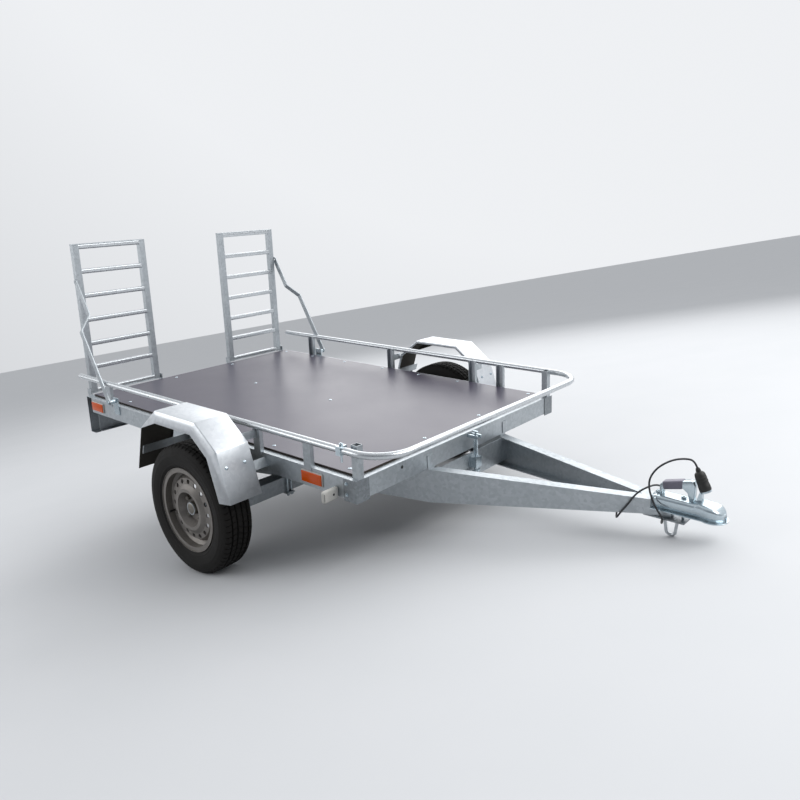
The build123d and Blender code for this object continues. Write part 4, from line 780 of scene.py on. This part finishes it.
piece("tail_lamp_amber_lenses", tail_ambers, (amber_lens,), "bed")
piece("tail_lamp_clear_lenses", tail_clears, (clear_lens,), "bed")
piece("lamp_screws", lamp_screws, (black_abs,), "bed")

# ------------------------------------------------------------------ bolts, brackets and the latch

# On the bed: the mudguards' bolts in their lower faces, the corner plates' and the rail clamp's.
bed_bolts = bmesh.new()
for s in (-1, 1):
    for end in (-1, 1):
        for y in (798.0, 884.0):
            bolt(bed_bolts, (axle_x + end * 293.5, s * y, 0), (end * 0.951, 0, 0.311), across=10, height=3.5,
                 washer=15)
    for z in (-20.0, -62.0):
        bolt(bed_bolts, (-48.0, s * 688.0, z), (0, s, 0), across=10, height=4, washer=15)
bolt(bed_bolts, (-50.0, -701.45, 133.4), (0, 0, 1), across=13, height=6, washer=18)
piece("bed_bolts", bed_bolts, (zinc_plate,), "bed")

# On the chassis: the plates under the axle with their four bolts each, and the hinge tube's bolts.
plate_foot = -289
chassis_bolts, axle_plates = bmesh.new(), bmesh.new()
for s in (-1, 1):
    block(axle_plates, (-768, s * 438.0, plate_foot), (-658, s * 480.0, -281.2), edge=1.5)
    for x in (-757.0, -669.0):
        for y in (447.0, 468.0):
            rod(chassis_bolts, (x, s * y, plate_foot), (x, s * y, -204), 4.5, sides=14)
            bolt(chassis_bolts, (x, s * y, plate_foot), (0, 0, -1), across=13, height=7, washer=18)
    bolt(chassis_bolts, (-905, s * 537.0, -128), (-0.28, s * 0.96, 0), across=24, height=9, washer=38)
piece("axle_plates", axle_plates, (galvanised_steel,), "chassis")
piece("chassis_bolts", chassis_bolts, (zinc_plate,), "chassis")

# Flat brackets: two on the front beam, and two on each side from the rail posts out to the mudguard.
brackets = bmesh.new()
for s in (-1, 1):
    block(brackets, (0, s * 252.0, -76), (4, s * 285.0, -22), edge=1.2)
    for x, z in ((-1074.0, 44.0), (-567.0 if s < 0 else -478.0, 60.0)):
        block(brackets, (x - 2, s * 690.5, z), (x + 2, s * 760.0, z + 34), edge=0.8)
piece("deck_brackets", brackets, (galvanised_steel,), "bed")

# The latch: two bolts in its bracket, and on its rod a wing nut and a coil spring.
rod_x = 34
latch = bmesh.new()
for y, z in ((14.3, -112), (-14.3, -142)):
    bolt(latch, (14, y, z), (1, 0, 0), across=10, height=4, washer=14)
rod(latch, (rod_x, 0, -104), (rod_x, 0, -176), 4.0, sides=18, edge=0.8)
rod(latch, (rod_x, 0, -150), (rod_x, 0, -163), 8.5, sides=6, edge=1.0)
for s in (-1, 1):
    slab(latch, ((30, -163), (38, -163), (40, -178), (28, -178)), s * 5, s * 26, edge=1.5)
piece("latch_wing_nut", latch, (zinc_plate,), "chassis")

spring_foot, spring_height, spring_radius = -98, 66, 9
coils, coil_steps = 12, 14
spring = bmesh.new()
wire_spot = Matrix.Translation((rod_x + spring_radius, 0, spring_foot)) @ Matrix.Rotation(pi / 2, 4, "X")
ring = bmesh.ops.create_circle(spring, segments=8, radius=1.4, matrix=wire_spot)["verts"]
bmesh.ops.spin(spring, geom=ring + list(edges_at(ring)), cent=(rod_x, 0, spring_foot), axis=(0, 0, 1),
               dvec=(0, 0, spring_height / (coils * coil_steps)), angle=2 * pi * coils,
               steps=coils * coil_steps, use_merge=False, use_duplicate=False)
piece("latch_spring", spring, (zinc_plate,), "chassis")

# ------------------------------------------------------------------ studio


def plain_floor():
    """Pale matt studio paper, rolled out flat. It throws less light back up than it shows, so
    undersides stay dark."""
    made, tree, shader = finish("pale_studio_paper", Roughness=0.9)
    place = add(tree, "ShaderNodeTexCoord").outputs["Object"]
    pulp = add(tree, "ShaderNodeTexNoise", {"Vector": place, "Scale": 2.0, "Detail": 3.0})
    tint = add(tree, "ShaderNodeMix",
               {"Factor": pulp.outputs["Fac"], 6: colour("#c9cbcd"), 7: colour("#cecfd1")},
               data_type="RGBA")
    rays = add(tree, "ShaderNodeLightPath").outputs
    straight = add(tree, "ShaderNodeMath", {0: rays["Is Camera Ray"], 1: rays["Is Glossy Ray"]},
                   operation="MAXIMUM")
    seen = add(tree, "ShaderNodeMath", {0: straight.outputs[0], 1: rays["Is Transmission Ray"]},
               operation="MAXIMUM")
    paper = add(tree, "ShaderNodeMix", {"Factor": seen.outputs[0], 6: colour("#77797b"), 7: tint.outputs[2]},
                data_type="RGBA")
    tree.links.new(paper.outputs[2], shader.inputs["Base Color"])
    return made


paper = bmesh.new()
bmesh.ops.create_circle(paper, cap_ends=True, segments=96, radius=40.0)
paper_mesh = bpy.data.meshes.new("studio_floor")
paper.to_mesh(paper_mesh)
paper.free()
paper_mesh.materials.append(plain_floor())
studio_floor = bpy.data.objects.new("studio_floor", paper_mesh)
bpy.context.collection.objects.link(studio_floor)

# The air is bright high up over the trailer's left, and dim low down on its right.
world = bpy.data.worlds.new("studio_air")
bpy.context.scene.world = world
world.use_nodes = True
air = world.node_tree
direction = add(air, "ShaderNodeTexCoord").outputs["Generated"]
facing = add(air, "ShaderNodeVectorMath", {0: direction, 1: (-0.25, 0.72, 0.65)}, operation="DOT_PRODUCT")
lift = add(air, "ShaderNodeMapRange", {0: facing.outputs["Value"], 1: -0.35, 2: 0.75})
glow = add(air, "ShaderNodeMix", {"Factor": lift.outputs[0], 6: colour("#8b8f95"), 7: colour("#fafcff")},
           data_type="RGBA")
air.links.new(glow.outputs[2], air.nodes["Background"].inputs["Color"])
air.nodes["Background"].inputs["Strength"].default_value = 0.9


def lamp(name, spot, aim, size, power):
    """A soft rectangular studio lamp at a spot, aimed at a point."""
    data = bpy.data.lights.new(name, "AREA")
    data.shape = "RECTANGLE"
    data.size, data.size_y = size
    data.energy = power
    made = bpy.data.objects.new(name, data)
    toward = Vector(aim) - Vector(spot)
    made.matrix_world = Matrix.Translation(spot) @ toward.to_track_quat("-Z", "Y").to_matrix().to_4x4()
    bpy.context.collection.objects.link(made)


lamp("key_lamp", spot=(4.3, 1.2, 3.3), aim=(0.0, 0, 0.4), size=(4.5, 3.0), power=165.0)
lamp("rear_fill_lamp", spot=(-3.6, -4.2, 2.4), aim=(-0.6, -0.6, 0.4), size=(4.0, 2.6), power=78.0)
lamp("back_lamp", spot=(-1.4, 5.4, 4.3), aim=(0, 0, 0.5), size=(10.0, 4.6), power=300.0)

bpy.context.scene.view_settings.view_transform = "Standard"
